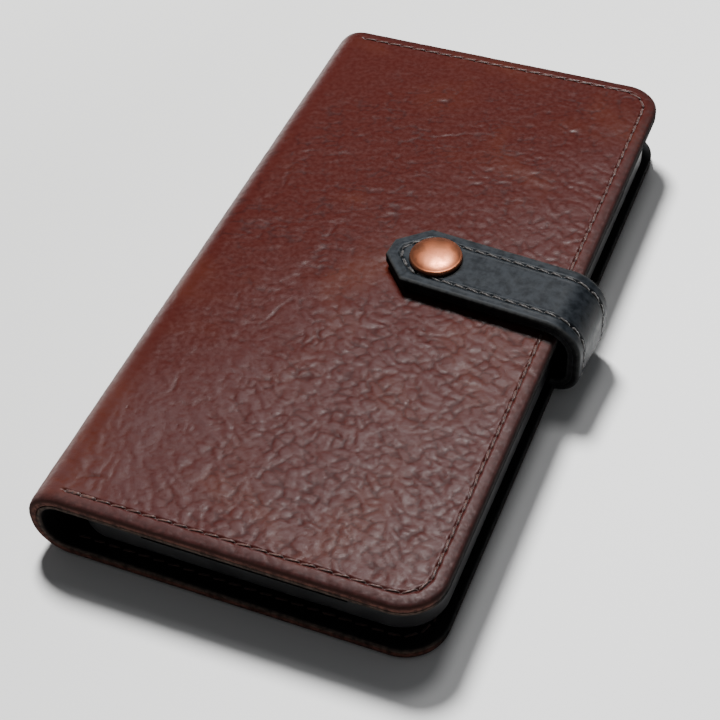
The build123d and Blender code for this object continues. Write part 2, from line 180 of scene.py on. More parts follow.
def foldPoint(s, h, fold):
    # s runs from the middle of the bend's back out along the panel; h stands off the seam
    half, radius, centre = fold["half"], fold["radius"], fold["centre"]
    arc = radius * math.pi / 2
    turn = np.clip((s - half) / radius, 0, math.pi / 2)
    along = np.maximum(s - half - arc, 0)
    upright = np.minimum(s - half, 0)
    a = centre[0] + fold["side"] * ((radius + h) * np.cos(turn) - along)
    z = centre[1] + fold["up"] * ((radius + h) * np.sin(turn) + upright)
    return a, z


def edgeDrop(inward, radius):
    reach = np.clip(radius - inward, 0, radius)
    return radius - np.sqrt(np.maximum(radius ** 2 - reach ** 2, 0))


def newMesh(name, points, faces):
    mesh = bpy.data.meshes.new(name)
    mesh.from_pydata(points, [], faces)
    return mesh


def addValues(mesh, name, values):
    # one number for each corner, which the materials read by this name
    layer = mesh.attributes.new(name, "FLOAT", "POINT")
    layer.data.foreach_set("value", np.asarray(values, dtype=np.float32))


def addObject(name, data):
    added = bpy.data.objects.new(name, data)
    bpy.context.scene.collection.objects.link(added)
    return added


def shadeMesh(mesh, sharpFaces=(), weldSides=0, sharpTurn=38.0):
    # faces out and smooth, hard only round the given faces, or at the sharp turns of a turned piece
    work = bmesh.new()
    work.from_mesh(mesh)
    if weldSides:
        bmesh.ops.remove_doubles(work, verts=work.verts, dist=1e-7)
        bmesh.ops.holes_fill(work, edges=work.edges, sides=weldSides)
    bmesh.ops.recalc_face_normals(work, faces=work.faces)
    work.faces.ensure_lookup_table()
    for face in work.faces:
        face.smooth = True
    for number in sharpFaces:
        for edge in work.faces[number].edges:
            edge.smooth = False
    for edge in work.edges if weldSides else ():
        if len(edge.link_faces) == 2 and edge.calc_face_angle() > math.radians(sharpTurn):
            edge.smooth = False
    work.to_mesh(mesh)
    work.free()


# how the wear values fade in from a sheet's cut edge, and how far in they are still told apart
edgeWear = {"tintFrom": 0.05 * mm, "tintTo": 0.55 * mm, "farthest": 20}


def sheetObject(name, pattern, showHeight, hideHeight, place, edges, attributes, coarse=4):
    # one closed solid: a fine shown face, a rounded cut edge, and a plain hidden face
    s, v, inward, outS, outV = pattern
    rows, cols = s.shape
    shown = np.sign(np.mean(showHeight) - hideHeight)
    top = showHeight - shown * edgeDrop(inward, edges["shown"])
    ring = [(i, 0) for i in range(rows)] + [(rows - 1, j) for j in range(1, cols)]
    ring += [(i, cols - 1) for i in range(rows - 2, -1, -1)]
    ring += [(0, j) for j in range(cols - 2, 0, -1)]
    ri, rj = np.array(ring).T
    count, wallRows = len(ring), edges["rows"]
    points, uv = [], []
    values = {key: [] for key in [*attributes, "wall", "inward", "side"]}

    def lay(i, j, height, spread, wall, depth):
        # more corners: where they stand, where they lie in the pattern, and what they carry
        points.append(place(s[i, j], v[i, j], height).reshape(-1, 3))
        spots = [s[i, j] + outS[i, j] * spread, v[i, j] + outV[i, j] * spread]
        uv.append(np.stack(spots, -1).reshape(-1, 2))
        carried = dict(attributes, side=np.abs(outS))
        for key, value in carried.items():
            values[key].append(value[i, j].ravel())
        values["wall"].append(np.broadcast_to(wall, i.shape).ravel())
        values["inward"].append(depth.ravel())

    margin = np.minimum(inward / mm, edgeWear["farthest"])
    tint = smoothStep(edgeWear["tintTo"], edgeWear["tintFrom"], inward) * edges["tint"]
    lay(*np.indices(s.shape), top, 0, tint, margin)
    seamSide = (ri == 0) & edges.get("seam", True)
    wallTop = top[ri, rj]
    wallBottom = hideHeight + shown * np.where(seamSide, 0, edges["hidden"])
    for row in range(1, wallRows + 1):
        height = wallTop + (wallBottom - wallTop) * (row / wallRows)
        depth = np.abs(height - wallTop)
        lay(ri, rj, height, depth, 1.0, -depth / mm)
    cs = sorted({0, *range(2, rows - 2, coarse), rows - 3, rows - 1})
    cv = sorted({0, *range(2, cols - 2, coarse), cols - 3, cols - 1})
    inner = [(i, j) for i in cs[1:-1] for j in cv[1:-1]]
    ii, ij = np.array(inner).T
    lay(ii, ij, np.full(len(inner), hideHeight), 0, 0.0, margin[ii, ij])

    index = np.arange(rows * cols).reshape(rows, cols)
    cells = [index[:-1, :-1], index[1:, :-1], index[1:, 1:], index[:-1, 1:]]
    faces = np.stack(cells, -1).reshape(-1, 4).tolist()
    loops = [index[ri, rj].tolist()]
    for row in range(wallRows):
        loops.append((rows * cols + row * count + np.arange(count)).tolist())
    seamFaces = []
    for upper, lower in zip(loops[:-1], loops[1:]):
        for k in range(count):
            n = (k + 1) % count
            if seamSide[k] and seamSide[n]:
                seamFaces.append(len(faces))
            faces.append([upper[n], upper[k], lower[k], lower[n]])
    first = rows * cols + wallRows * count
    hidden = {pair: first + number for number, pair in enumerate(inner)}
    hidden.update(zip(ring, loops[-1]))
    for s0, s1 in zip(cs[:-1], cs[1:]):
        for v0, v1 in zip(cv[:-1], cv[1:]):
            low = range(s0, s1) if v0 == 0 else [s0]
            right = range(v0, v1) if s1 == rows - 1 else [v0]
            high = range(s1, s0, -1) if v1 == cols - 1 else [s1]
            left = range(v1, v0, -1) if s0 == 0 else [v1]
            outline = [(i, v0) for i in low] + [(s1, j) for j in right]
            outline += [(i, v1) for i in high] + [(s0, j) for j in left]
            faces.append([hidden[pair] for pair in outline][::-1])

    mesh = newMesh(name, np.concatenate(points).tolist(), faces)
    corners = np.empty(len(mesh.loops), dtype=np.int32)
    mesh.loops.foreach_get("vertex_index", corners)
    spots = np.concatenate(uv)[corners].astype(np.float32)
    mesh.uv_layers.new(name="pattern").data.foreach_set("uv", spots.ravel())
    for key, parts in values.items():
        addValues(mesh, key, np.concatenate(parts))
    shadeMesh(mesh, seamFaces)
    return addObject(name, mesh)


def startMaterial(name):
    material = bpy.data.materials.new(name)
    material.use_nodes = True
    tree = material.node_tree
    return material, tree, tree.nodes["Principled BSDF"]


def addNode(tree, kind, inputs=None, **settings):
    # inputs take a number, a colour or another node's output
    node = tree.nodes.new(kind)
    for key, value in settings.items():
        setattr(node, key, value)
    for key, value in (inputs or {}).items():
        if isinstance(value, bpy.types.NodeSocket):
            tree.links.new(value, node.inputs[key])
        else:
            node.inputs[key].default_value = value
    return node


def attributeValue(tree, name):
    return addNode(tree, "ShaderNodeAttribute", attribute_name=name).outputs["Fac"]


def rangeOf(tree, value, fromLow, fromHigh, toLow=0.0, toHigh=1.0):
    # smooth between the two ends, and level beyond them
    inputs = {0: value, 1: fromLow, 2: fromHigh, 3: toLow, 4: toHigh}
    node = addNode(tree, "ShaderNodeMapRange", inputs, interpolation_type="SMOOTHSTEP")
    return node.outputs[0]


def mathOf(tree, operation, first, second):
    return addNode(tree, "ShaderNodeMath", {0: first, 1: second}, operation=operation).outputs[0]


def plus(tree, first, *others):
    for other in others:
        first = mathOf(tree, "ADD", first, other)
    return first


def times(tree, first, *others):
    for other in others:
        first = mathOf(tree, "MULTIPLY", first, other)
    return first


def mixColour(tree, share, first, second):
    inputs = {0: share, 6: first, 7: second}
    return addNode(tree, "ShaderNodeMix", inputs, data_type="RGBA").outputs[2]


def addBump(tree, shader, height, strength, distance):
    inputs = {"Height": height, "Strength": strength, "Distance": distance}
    bump = addNode(tree, "ShaderNodeBump", inputs)
    tree.links.new(bump.outputs[0], shader.inputs["Normal"])


def objectPlace(tree):
    return addNode(tree, "ShaderNodeTexCoord").outputs["Object"]


def colour(red, green, blue):
    return (red, green, blue, 1.0)


def patternMillimetres(tree):
    uvNode = addNode(tree, "ShaderNodeUVMap", uv_map="pattern")
    inputs = {0: uvNode.outputs[0], 1: (1000, 1000, 1000)}
    return addNode(tree, "ShaderNodeVectorMath", inputs, operation="MULTIPLY").outputs[0]


def noiseOf(tree, place, scale, detail=3.0, roughness=0.5, distortion=0.0, kind="FBM"):
    inputs = {"Vector": place, "Scale": scale, "Detail": detail, "Roughness": roughness}
    inputs["Distortion"] = distortion
    return addNode(tree, "ShaderNodeTexNoise", inputs, noise_type=kind).outputs[0]


def leatherMaterial(name, look):
    material, tree, shader = startMaterial(name)
    place = patternMillimetres(tree)
    relief, pebbledSheen, bend, warm, wall, inward, side = [
        attributeValue(tree, key)
        for key in ("relief", "pebbledSheen", "bend", "warm", "wall", "inward", "side")]
    # dye: a broad drift between two tones, then a fine mottle
    drift = rangeOf(tree, noiseOf(tree, place, look["patchScale"], 3.0, 0.55, 0.6), 0.50, 0.72)
    mottle = rangeOf(tree, noiseOf(tree, place, look["mottleScale"], 4.0, 0.62), 0.34, 0.66)
    patches = plus(tree, times(tree, drift, look["patches"]), times(tree, warm, look["warm"]))
    base = mixColour(tree, patches, look["base"], look["patch"])
    base = mixColour(tree, times(tree, mottle, look["mottle"]), base, look["light"])
    # painted light on the relief: a pale grey-pink painted sheen on the tops in the pebbled zone,
    # partly wax, and painted shade deep in the furrows, partly dye
    tops = times(tree, rangeOf(tree, relief, 0.45, 0.85), pebbledSheen, look["pebbledSheen"])
    base = mixColour(tree, tops, base, look["paintedSheen"])
    # painted shade: darker in the furrows and other low parts of the relief, partly dye
    furrowShade = times(tree, rangeOf(tree, relief, 0.62, 0.20), look["furrowShade"])
    base = mixColour(tree, furrowShade, base, look["dark"])
    # the fine grain between the furrows
    grain = noiseOf(tree, place, look["grainScale"], 4.0, 0.6, 0.35, "RIDGED_MULTIFRACTAL")
    ridges = rangeOf(tree, grain, 0.2, 1.6)
    base = mixColour(tree, times(tree, ridges, look["grainTint"]), base, look["dark"])
    # burnished cut edges, darker along the open side
    streaks = noiseOf(tree, place, look["streakScale"], 3.0, 0.6)
    tone = rangeOf(tree, streaks, 0.35, 0.65)
    ends = mixColour(tree, tone, look["edgeDark"], look["edgeLight"])
    openSide = mixColour(tree, tone, look["openDark"], look["openLight"])
    cutEdge = mixColour(tree, rangeOf(tree, side, 0.75, 1.0), ends, openSide)
    base = mixColour(tree, wall, base, cutEdge)
    # a band just inside the cut edge, partly worn arrises and partly painted light: on the cover a
    # darker band, painted shade where the margin falls away from the sheen; on the strap a paler
    # arris, partly a painted highlight
    wearAndPaintedLight = times(tree, rangeOf(tree, inward, look["wearAndPaintedLightTo"], look["wearAndPaintedLightFrom"]),
                rangeOf(tree, inward, -0.25, 0.1), rangeOf(tree, streaks, 0.3, 0.62, 0.25, 1.0))
    base = mixColour(tree, times(tree, wearAndPaintedLight, look["wearAndPaintedLight"]), base, look["wearAndPaintedLightColour"])
    tree.links.new(base, shader.inputs["Base Color"])
    # how dull each part is
    skin = rangeOf(tree, mottle, 0, 1, look["roughness"] - 0.04, look["roughness"] + 0.05)
    gloss = plus(tree, skin, times(tree, furrowShade, 0.14), times(tree, pebbledSheen, look["matt"]),
                 times(tree, bend, look["bendMatt"]), times(tree, wearAndPaintedLight, look["rubMatt"]),
                 times(tree, wall, look["wallMatt"]))
    tree.links.new(gloss, shader.inputs["Roughness"])
    # pores and grain too small for the mesh
    pores = times(tree, noiseOf(tree, place, look["fineScale"], 4.0, 0.6), look["fineDepth"])
    height = mathOf(tree, "SUBTRACT", pores, times(tree, ridges, look["grainDepth"]))
    height = times(tree, height, rangeOf(tree, wall, 0.0, 1.0, 1.0, 0.4),
                   rangeOf(tree, pebbledSheen, 0.0, 1.0, look["calm"], look["rough"]))
    addBump(tree, shader, height, 1.0, mm)
    shader.inputs["Specular IOR Level"].default_value = look["specular"]
    return material


coverLook = {
    "base": colour(0.0345, 0.0058, 0.0044),
    "patch": colour(0.062, 0.0150, 0.0068), "patches": 0.5, "warm": 0.7,
    "light": colour(0.047, 0.0105, 0.0080), "dark": colour(0.016, 0.0020, 0.0020),
    # painted sheen: the pale grey-pink laid on the relief's tops, partly wax, and how much of it
    "paintedSheen": colour(0.050, 0.0215, 0.0215), "pebbledSheen": 0.75,
    # the furrow strength on the next line sets how much painted shade lies in the furrows
    "patchScale": 0.035, "mottleScale": 0.9, "mottle": 0.50, "furrowShade": 0.55,
    "grainScale": 0.9, "grainDepth": 0.034, "grainTint": 0.45, "fineScale": 3.2, "fineDepth": 0.018,
    "streakScale": 0.8,
    "edgeDark": colour(0.034, 0.014, 0.011), "edgeLight": colour(0.105, 0.042, 0.031),
    "openDark": colour(0.005, 0.004, 0.004), "openLight": colour(0.016, 0.013, 0.012),
    # painted shade, partly edge wear: the darker band just inside the cover's cut edge
    "wearAndPaintedLight": 0.75, "wearAndPaintedLightFrom": 0.5, "wearAndPaintedLightTo": 3.0, "wearAndPaintedLightColour": colour(0.013, 0.0030, 0.0026),
    "roughness": 0.32, "matt": 0.12, "bendMatt": 0.35, "rubMatt": 0.20, "calm": 0.7, "rough": 2.3,
    "wallMatt": 0.65, "specular": 0.17,
}
liningLook = dict(coverLook)
liningLook.update({
    "base": colour(0.006, 0.006, 0.0065), "patch": colour(0.008, 0.008, 0.0085),
    "light": colour(0.014, 0.014, 0.0145), "dark": colour(0.002, 0.002, 0.002),
    "mottle": 0.30, "pebbledSheen": 0.0, "grainScale": 2.0, "grainDepth": 0.02,
    "edgeDark": colour(0.022, 0.015, 0.012), "edgeLight": colour(0.070, 0.047, 0.037),
    "openDark": colour(0.004, 0.004, 0.004), "openLight": colour(0.012, 0.012, 0.012),
    "wearAndPaintedLight": 0.3, "wearAndPaintedLightFrom": 0.25, "wearAndPaintedLightTo": 1.1, "wearAndPaintedLightColour": colour(0.02, 0.02, 0.02),
    "roughness": 0.50, "wallMatt": 0.45, "specular": 0.10,
})
strapLook = dict(liningLook)
strapLook.update({
    "base": colour(0.0045, 0.0060, 0.0080), "patch": colour(0.006, 0.0080, 0.0105),
    "light": colour(0.021, 0.025, 0.030), "dark": colour(0.0015, 0.0016, 0.0018),
    "mottle": 0.60, "mottleScale": 0.45, "grainScale": 1.6, "grainDepth": 0.014, "fineDepth": 0.010,
    "edgeDark": colour(0.003, 0.003, 0.0035), "edgeLight": colour(0.010, 0.010, 0.0105),
    # partly wear and partly a painted highlight: the paler line along the strap's arris
    "wearAndPaintedLight": 0.40, "wearAndPaintedLightFrom": 0.2, "wearAndPaintedLightTo": 0.75, "wearAndPaintedLightColour": colour(0.05, 0.05, 0.047),
    "roughness": 0.44, "wallMatt": 0.50, "specular": 0.13,
})
materials = {
    "coverLeather": leatherMaterial("coverLeather", coverLook),
    "liningLeather": leatherMaterial("liningLeather", liningLook),
    "strapLeather": leatherMaterial("strapLeather", strapLook),
}


def threadMaterial(name, look):
    material, tree, shader = startMaterial(name)
    # painted light: darker in the dips between the plies and lighter on their crests
    crest = rangeOf(tree, attributeValue(tree, "twist"), 0.15, 0.9)
    base = mixColour(tree, crest, look["dark"], look["light"])
    places = objectPlace(tree)
    # partly wax and partly painted glints: pale spots scattered over the thread
    glintSpots = rangeOf(tree, noiseOf(tree, places, 900.0), 0.35, 0.7)
    base = mixColour(tree, times(tree, glintSpots, 0.5), base, look["waxGlint"])
    tree.links.new(base, shader.inputs["Base Color"])
    addBump(tree, shader, noiseOf(tree, places, 6000.0, 2.0), 0.5, 0.08 * mm)
    finish = {"Roughness": look["roughness"], "Specular IOR Level": look["specular"],
              "Sheen Weight": 0.3, "Coat Weight": 0.25, "Coat Roughness": 0.3}
    for key, value in finish.items():
        shader.inputs[key].default_value = value
    return material


materials["brownThread"] = threadMaterial("brownThread", {
    "dark": colour(0.014, 0.005, 0.004), "light": colour(0.055, 0.018, 0.013),
    "waxGlint": colour(0.090, 0.038, 0.027), "roughness": 0.46, "specular": 0.2})
materials["greyThread"] = threadMaterial("greyThread", {
    "dark": colour(0.004, 0.0035, 0.0035), "light": colour(0.030, 0.026, 0.024),
    "waxGlint": colour(0.075, 0.066, 0.060), "roughness": 0.5, "specular": 0.2})


def metalMaterial(name, look):
    material, tree, shader = startMaterial(name)
    places = objectPlace(tree)
    cloud = rangeOf(tree, noiseOf(tree, places, 420.0, 5.0, 0.6), 0.36, 0.68)
    base = mixColour(tree, cloud, look["bright"], look["warm"])
    specks = rangeOf(tree, noiseOf(tree, places, 2600.0, 3.0, 0.7), 0.60, 0.74)
    base = mixColour(tree, times(tree, specks, look["specks"]), base, look["patina"])
    rim = attributeValue(tree, "rim")
    base = mixColour(tree, rim, base, look["patina"])
    tree.links.new(base, shader.inputs["Base Color"])
    gloss = rangeOf(tree, cloud, 0, 1, look["roughLow"], look["roughHigh"])
    tree.links.new(plus(tree, gloss, times(tree, rim, 0.15)), shader.inputs["Roughness"])
    # fine brushed lines
    inputs = {"Vector": places, "Scale": (700.0, 9000.0, 700.0), "Rotation": (0.0, 0.0, 0.7)}
    brushed = addNode(tree, "ShaderNodeMapping", inputs).outputs[0]
    addBump(tree, shader, noiseOf(tree, brushed, 1.0, 2.0), 0.12, 0.02 * mm)
    shader.inputs["Metallic"].default_value = 1.0
    return material


materials["antiqueCopper"] = metalMaterial("antiqueCopper", {
    "bright": colour(0.52, 0.188, 0.098), "warm": colour(0.40, 0.135, 0.068),
    "patina": colour(0.120, 0.052, 0.034), "specks": 0.50, "roughLow": 0.35, "roughHigh": 0.46})
materials["snapBrass"] = metalMaterial("snapBrass", {
    "bright": colour(0.42, 0.27, 0.15), "warm": colour(0.33, 0.20, 0.11),
    "patina": colour(0.07, 0.045, 0.028), "specks": 0.5, "roughLow": 0.26, "roughHigh": 0.42})


def mouldedMaterial(name, look):
    material, tree, shader = startMaterial(name)
    places = objectPlace(tree)
    tone = rangeOf(tree, noiseOf(tree, places, look["toneScale"], 4.0), 0.35, 0.65)
    base = mixColour(tree, tone, look["dark"], look["light"])
    tree.links.new(base, shader.inputs["Base Color"])
    gloss = rangeOf(tree, tone, 0, 1, look["roughLow"], look["roughHigh"])
    tree.links.new(gloss, shader.inputs["Roughness"])
    texture = noiseOf(tree, places, look["textureScale"], 3.0, 0.6)
    addBump(tree, shader, texture, 0.6, look["textureDepth"])
    return material


materials["trayPlastic"] = mouldedMaterial("trayPlastic", {
    "dark": colour(0.010, 0.010, 0.011), "light": colour(0.0125, 0.0125, 0.0135),
    "toneScale": 240.0, "roughLow": 0.40, "roughHigh": 0.46,
    "textureScale": 3500.0, "textureDepth": 0.015 * mm})
materials["foamTape"] = mouldedMaterial("foamTape", {
    "dark": colour(0.02, 0.02, 0.02), "light": colour(0.035, 0.035, 0.035),
    "toneScale": 300.0, "roughLow": 0.8, "roughHigh": 0.95,
    "textureScale": 2500.0, "textureDepth": 0.05 * mm})
print("materials ready")


def finishPiece(piece, material, replaced):
    piece.data.materials.clear()
    piece.data.materials.append(materials[material])
    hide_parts(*replaced)


def pathSamples(corners, radius):
    # dense points along a line through the corners, each corner rounded
    points = [np.array(corners[0])]
    for before, corner, after in zip(corners[:-2], corners[1:-1], corners[2:]):
        before, corner, after = map(np.array, (before, corner, after))
        into = (corner - before) / np.linalg.norm(corner - before)
        out = (after - corner) / np.linalg.norm(after - corner)
        turn = math.acos(float(np.clip(into @ out, -1, 1)))
        back = radius * math.tan(turn / 2)
        inward = (out - into) / np.linalg.norm(out - into)
        centre = corner + inward * radius / math.cos(turn / 2)
        start, stop = corner - into * back - centre, corner + out * back - centre
        for share in np.linspace(0, 1, 12):
            arm = start * math.sin((1 - share) * turn) + stop * math.sin(share * turn)
            points.append(centre + arm / math.sin(turn))
    points.append(np.array(corners[-1]))
    return np.array(points)


def stitchSpots(path, pitch):
    steps = np.linalg.norm(np.diff(path, axis=0), axis=1)
    distance = np.concatenate([[0], np.cumsum(steps)])
    count = round(distance[-1] / pitch)
    ends = np.linspace(0, distance[-1], count + 1)
    return np.stack([np.interp(ends, distance, path[:, k]) for k in (0, 1)], -1)


# the yarn itself: rings along a stitch, sides round it, its two plies, and how uneven the hand is
yarn = {"rings": 11, "sides": 10, "ply": 0.16, "flatten": 0.8, "endSize": 0.985,
        "unevenLength": 0.05, "unevenTurn": 2.5, "unevenRise": 0.03 * mm}


def stitchRow(name, holes, thread, place, baseHeight, outward, skip=()):
    # one thread loop between each pair of holes, twisted, plump in the middle and sunk at its ends
    rings, around = yarn["rings"], yarn["sides"]
    points, faces, twist = [], [], []
    rng = np.random.default_rng(thread["seed"])
    for number in range(len(holes) - 1):
        start, stop = holes[number], holes[number + 1]
        wobble = rng.uniform(-1, 1, 4)
        if number in skip:
            continue
        middle = (start + stop) / 2
        span = np.linalg.norm(stop - start) * thread["fill"]
        span *= 1 + yarn["unevenLength"] * wobble[0]
        angle = math.atan2(stop[1] - start[1], stop[0] - start[0])
        angle += math.radians(thread["slant"] + yarn["unevenTurn"] * wobble[1])
        along = np.array([math.cos(angle), math.sin(angle)])
        across = np.array([-along[1], along[0]])
        first = len(points)
        for ring in range(rings):
            t = -1 + 2 * ring / (rings - 1)
            swell = math.sqrt(max(1 - (abs(t) * yarn["endSize"]) ** 5, 0.0))
            rise = thread["rise"] * (1 - abs(t) ** 3) - thread["sink"] * abs(t) ** 5
            rise += yarn["unevenRise"] * wobble[2]
            for k in range(around):
                turn = 2 * math.pi * k / around
                lobes = math.cos(2 * turn + thread["twist"] * t + wobble[3])
                size = thread["radius"] * swell * (1 + yarn["ply"] * lobes)
                spot = middle + along * t * span / 2 + across * size * math.cos(turn)
                height = baseHeight + outward * (rise + size * yarn["flatten"] * math.sin(turn))
                points.append((spot[0], spot[1], height))
                # the crest value, which the thread material paints lighter on the crests and
                # darker, as painted shade, in the dips
                twist.append(0.5 + 0.5 * lobes)
        for ring in range(rings - 1):
            for k in range(around):
                n = (k + 1) % around
                a, b = first + ring * around, first + (ring + 1) * around
                faces.append([a + k, b + k, b + n, a + n])
        faces.append([first + k for k in range(around)])
        faces.append([first + (rings - 1) * around + k for k in range(around)][::-1])
    flat = np.array(points)
    mesh = newMesh(name, place(flat[:, 0], flat[:, 1], flat[:, 2]).tolist(), faces)
    addValues(mesh, "twist", twist)
    shadeMesh(mesh)
    return addObject(name, mesh)


def nearHoles(s, v, holes):
    # distance from each pattern point to the nearest stitch hole, looked up only near the row
    nearest = np.full(s.shape, 1.0)
    reach = 2 * mm
    for hole in holes:
        close = (np.abs(s - hole[0]) < reach) & (np.abs(v - hole[1]) < reach)
        away = np.hypot(s[close] - hole[0], v[close] - hole[1])
        nearest[close] = np.minimum(nearest[close], away)
    return nearest


# the hide's own relief over the flat pattern, in millimetres: t runs across the case, v along it
hideRelief = {
    "seed": 11, "swell": 0.12, "swellSize": 15.0,                 # broad rise and fall
    "wander": 1.9, "wanderSize": 8.0, "waver": 0.55, "waverSize": 2.0, "driftSize": 22.0,
    "fold": 0.24, "foldLong": 9.0, "foldShort": 3.6, "spineTurn": -70.0,
    "farSize": 1.75, "farStretch": 2.1, "farTurn": 20.0, "farDepth": 0.060,
    "ripple": 0.125, "rippleLong": 7.5, "rippleShort": 2.5,       # wrinkles toward the far end
    "nearSize": 2.35, "nearStretch": 1.3, "nearTurn": -32.0, "nearDepth": 0.130,
    "crinkle": 0.045, "crinkleSize": 0.95,
    "vein": 0.17, "veinSize": 13.0, "veinHalf": 0.06, "veinGap": 14.0,
    "strength": 0.80, "strengthVaries": 0.45, "strengthSize": 17.0,
    "grooveDepth": 0.15, "grooveHalf": 0.46, "grooveLip": 0.04, "lipHalf": 0.22,
    "pit": 0.26, "pitHalf": 0.42 * mm,
}


def valley(value, width):
    # 1 in a narrow line where the value passes zero, 0 away from it
    return np.exp(-(value / width) ** 2)


def billow(value):
    # puffed between sharp furrows, which lie where the value passes zero
    return np.minimum(np.abs(value) * 1.9, 1) ** 0.7


def turned(x, y, turn, long, short):
    a = math.radians(turn)
    return (x * math.cos(a) + y * math.sin(a)) / long, (-x * math.sin(a) + y * math.cos(a)) / short


def pebbles(x, y, turn, size, stretch, seed):
    # irregular domes that run together where the furrow between them fades
    along, across = turned(x, y, turn, size * stretch, size)
    near, after = cellNoise(along, across, seed)
    depth = smoothStep(-0.75, 0.35, layeredNoise(along / 1.7, across / 1.7, seed + 1, 2))
    dome = np.minimum((after - near) / 0.45, 1) ** 0.6
    return 1 - depth * (1 - dome)


def hideHeight(t, v, look):
    # returns the relief in metres, a 0 to 1 share that is low in the furrows, and the pebbled share
    # where the material lays its painted sheen on the tops
    x, y, seed = t / mm, v / mm, look["seed"]

    def drifting(size, shift, layers=2):
        return layeredNoise(x / size, y / size, seed + shift, layers)

    def wandering(start, shift):
        wide = look["wander"] * drifting(look["wanderSize"], shift)
        return start + wide + look["waver"] * drifting(look["waverSize"], shift + 2, 3)

    wanderX, wanderY = wandering(x, 70), wandering(y, 80)

    def furrows(turn, long, short, shift):
        return layeredNoise(*turned(wanderX, wanderY, turn, long, short), seed + shift, 2)

    # pebbled beside the open edge, smoother beside the spine at the near end, wrinkled far away
    drift = drifting(look["driftSize"], 3)
    pebbled = smoothStep(-16, 20, x * 0.62 - y * 0.5 - 24 + 11 * drift)
    smooth = smoothStep(24, 4, x + 4 * drift) * smoothStep(8, -34, y)
    size, stretch = look["farSize"], look["farStretch"]
    farCells = pebbles(wanderX, wanderY, look["farTurn"], size, stretch, seed + 12)
    size, stretch = look["nearSize"], look["nearStretch"]
    nearCells = pebbles(wanderX, wanderY, look["nearTurn"], size, stretch, seed + 16)
    folds = billow(furrows(look["nearTurn"], look["foldLong"], look["foldShort"], 2))
    spine = billow(furrows(look["spineTurn"], look["foldLong"], look["foldShort"], 4))
    folds = folds * (1 - smooth) + spine * smooth
    ripples = furrows(look["farTurn"], look["rippleLong"], look["rippleShort"], 30)
    size = look["crinkleSize"]
    crinkles = billow(layeredNoise(wanderX / size, wanderY / size * 1.2, seed + 20, 2))
    near, after = cellNoise(wanderX / look["veinSize"], wanderY / look["veinSize"], seed + 9)
    veins = valley(after - near, look["veinHalf"])
    veins = veins * smoothStep(0.0, 0.7, drifting(look["veinGap"], 6, 3))
    strength = look["strength"] + look["strengthVaries"] * drifting(look["strengthSize"], 5)
    # how much of each kind there is at a place
    foldShare = (0.55 + 0.45 * pebbled) * strength
    fading = 0.2 + 0.8 * smoothStep(72, 42, y - 0.4 * x)
    farShare = (1 - pebbled) * (1 - 0.55 * smooth) * strength * fading
    nearShare = pebbled * (1.3 - 0.4 * strength) * (1 - 0.7 * smoothStep(44, 16, x + 5 * drift))
    height = look["swell"] * drifting(look["swellSize"], 0)
    height = height + look["fold"] * foldShare * (folds - 0.6) - look["vein"] * veins
    height = height + farShare * (look["farDepth"] * (farCells - 0.7) + look["ripple"] * ripples)
    height = height + look["nearDepth"] * nearShare * (nearCells - 0.7)
    height = height + look["crinkle"] * (0.45 + 0.55 * pebbled) * (crinkles - 0.6)
    low = farShare * (1 - farCells) + nearShare * (1 - nearCells)
    share = 1 - 0.85 * low - 0.22 * foldShare * (1 - folds) - 0.25 * (1 - crinkles) - 0.5 * veins
    share = share - 0.55 * farShare * np.clip(-ripples, 0, 1)
    return height * mm, np.clip(share, 0, 1), pebbled * (0.75 + 0.25 * drift)


def stitchGroove(inward, inset, look):
    # a narrow channel for the thread with slightly raised lips
    offset = np.abs(inward - inset) / mm
    channel = smoothStep(look["grooveHalf"], look["grooveHalf"] * 0.35, offset)
    lip = valley(offset - look["grooveHalf"] - 0.25, look["lipHalf"])
    return (look["grooveLip"] * lip - look["grooveDepth"] * channel) * mm, channel


cover = {
    "corner": 9.5 * mm, "stitchInset": 3.3 * mm, "stitchPitch": 3.5 * mm,
    "stitchStart": 0.5 * mm, "edgeRound": 0.9 * mm, "edgeUnder": 0.12 * mm,
    "edgeFall": 0.20 * mm, "step": 0.42 * mm, "backStep": 0.55 * mm,
    "sink": 0.10 * mm, "highest": 0.14 * mm,                      # where the hide's face lies
    "spineCalm": 0.35, "edgeCalm": 0.50, "edgeTone": 0.72, "grooveCalm": 0.8,
    "warmAcross": 26 * mm, "warmAlong": -60 * mm,                 # the warmer dye by the spine
}
bendLength = bendSeam * math.pi / 2
sheetLength = spineHalf + bendLength + openEdge - bendX
frontFold = {"half": spineHalf, "radius": bendSeam, "centre": (bendX, caseTop - bendOuter),
             "side": -1, "up": 1}
backFold = dict(frontFold, centre=(bendX, bendOuter), up=-1)


def placeOn(fold):
    def place(s, v, h):
        x, z = foldPoint(s, h, fold)
        return np.stack([x, np.broadcast_to(v, x.shape), z], -1)
    return place


def bendEnds(fold, place):
    # the seam's points where the bend begins beside the straight, and where it ends in the flat
    s = np.array([fold["half"], fold["half"] + fold["radius"] * math.pi / 2])
    ends = place(s, np.zeros(2), np.zeros(2))
    return [float(c) for c in ends[0]], [float(c) for c in ends[1]]


def coverPath(inset):
    # the saddle stitching: up the near end, round the open edge and back along the far end
    start = spineHalf + bendLength + cover["stitchStart"]
    end, side = sheetLength - inset, halfLength - inset
    corners = [(start, -side), (end, -side), (end, side), (start, side)]
    return pathSamples(corners, cover["corner"] - inset)


coverHoles = stitchSpots(coverPath(cover["stitchInset"]), cover["stitchPitch"])


def coverPattern(step, rows):
    sLines = gridLines(0, sheetLength, step, plainRows, rows)
    vLines = gridLines(-halfLength, halfLength, step, rows, rows)
    return roundedPanel(sLines, vLines, cover["corner"])


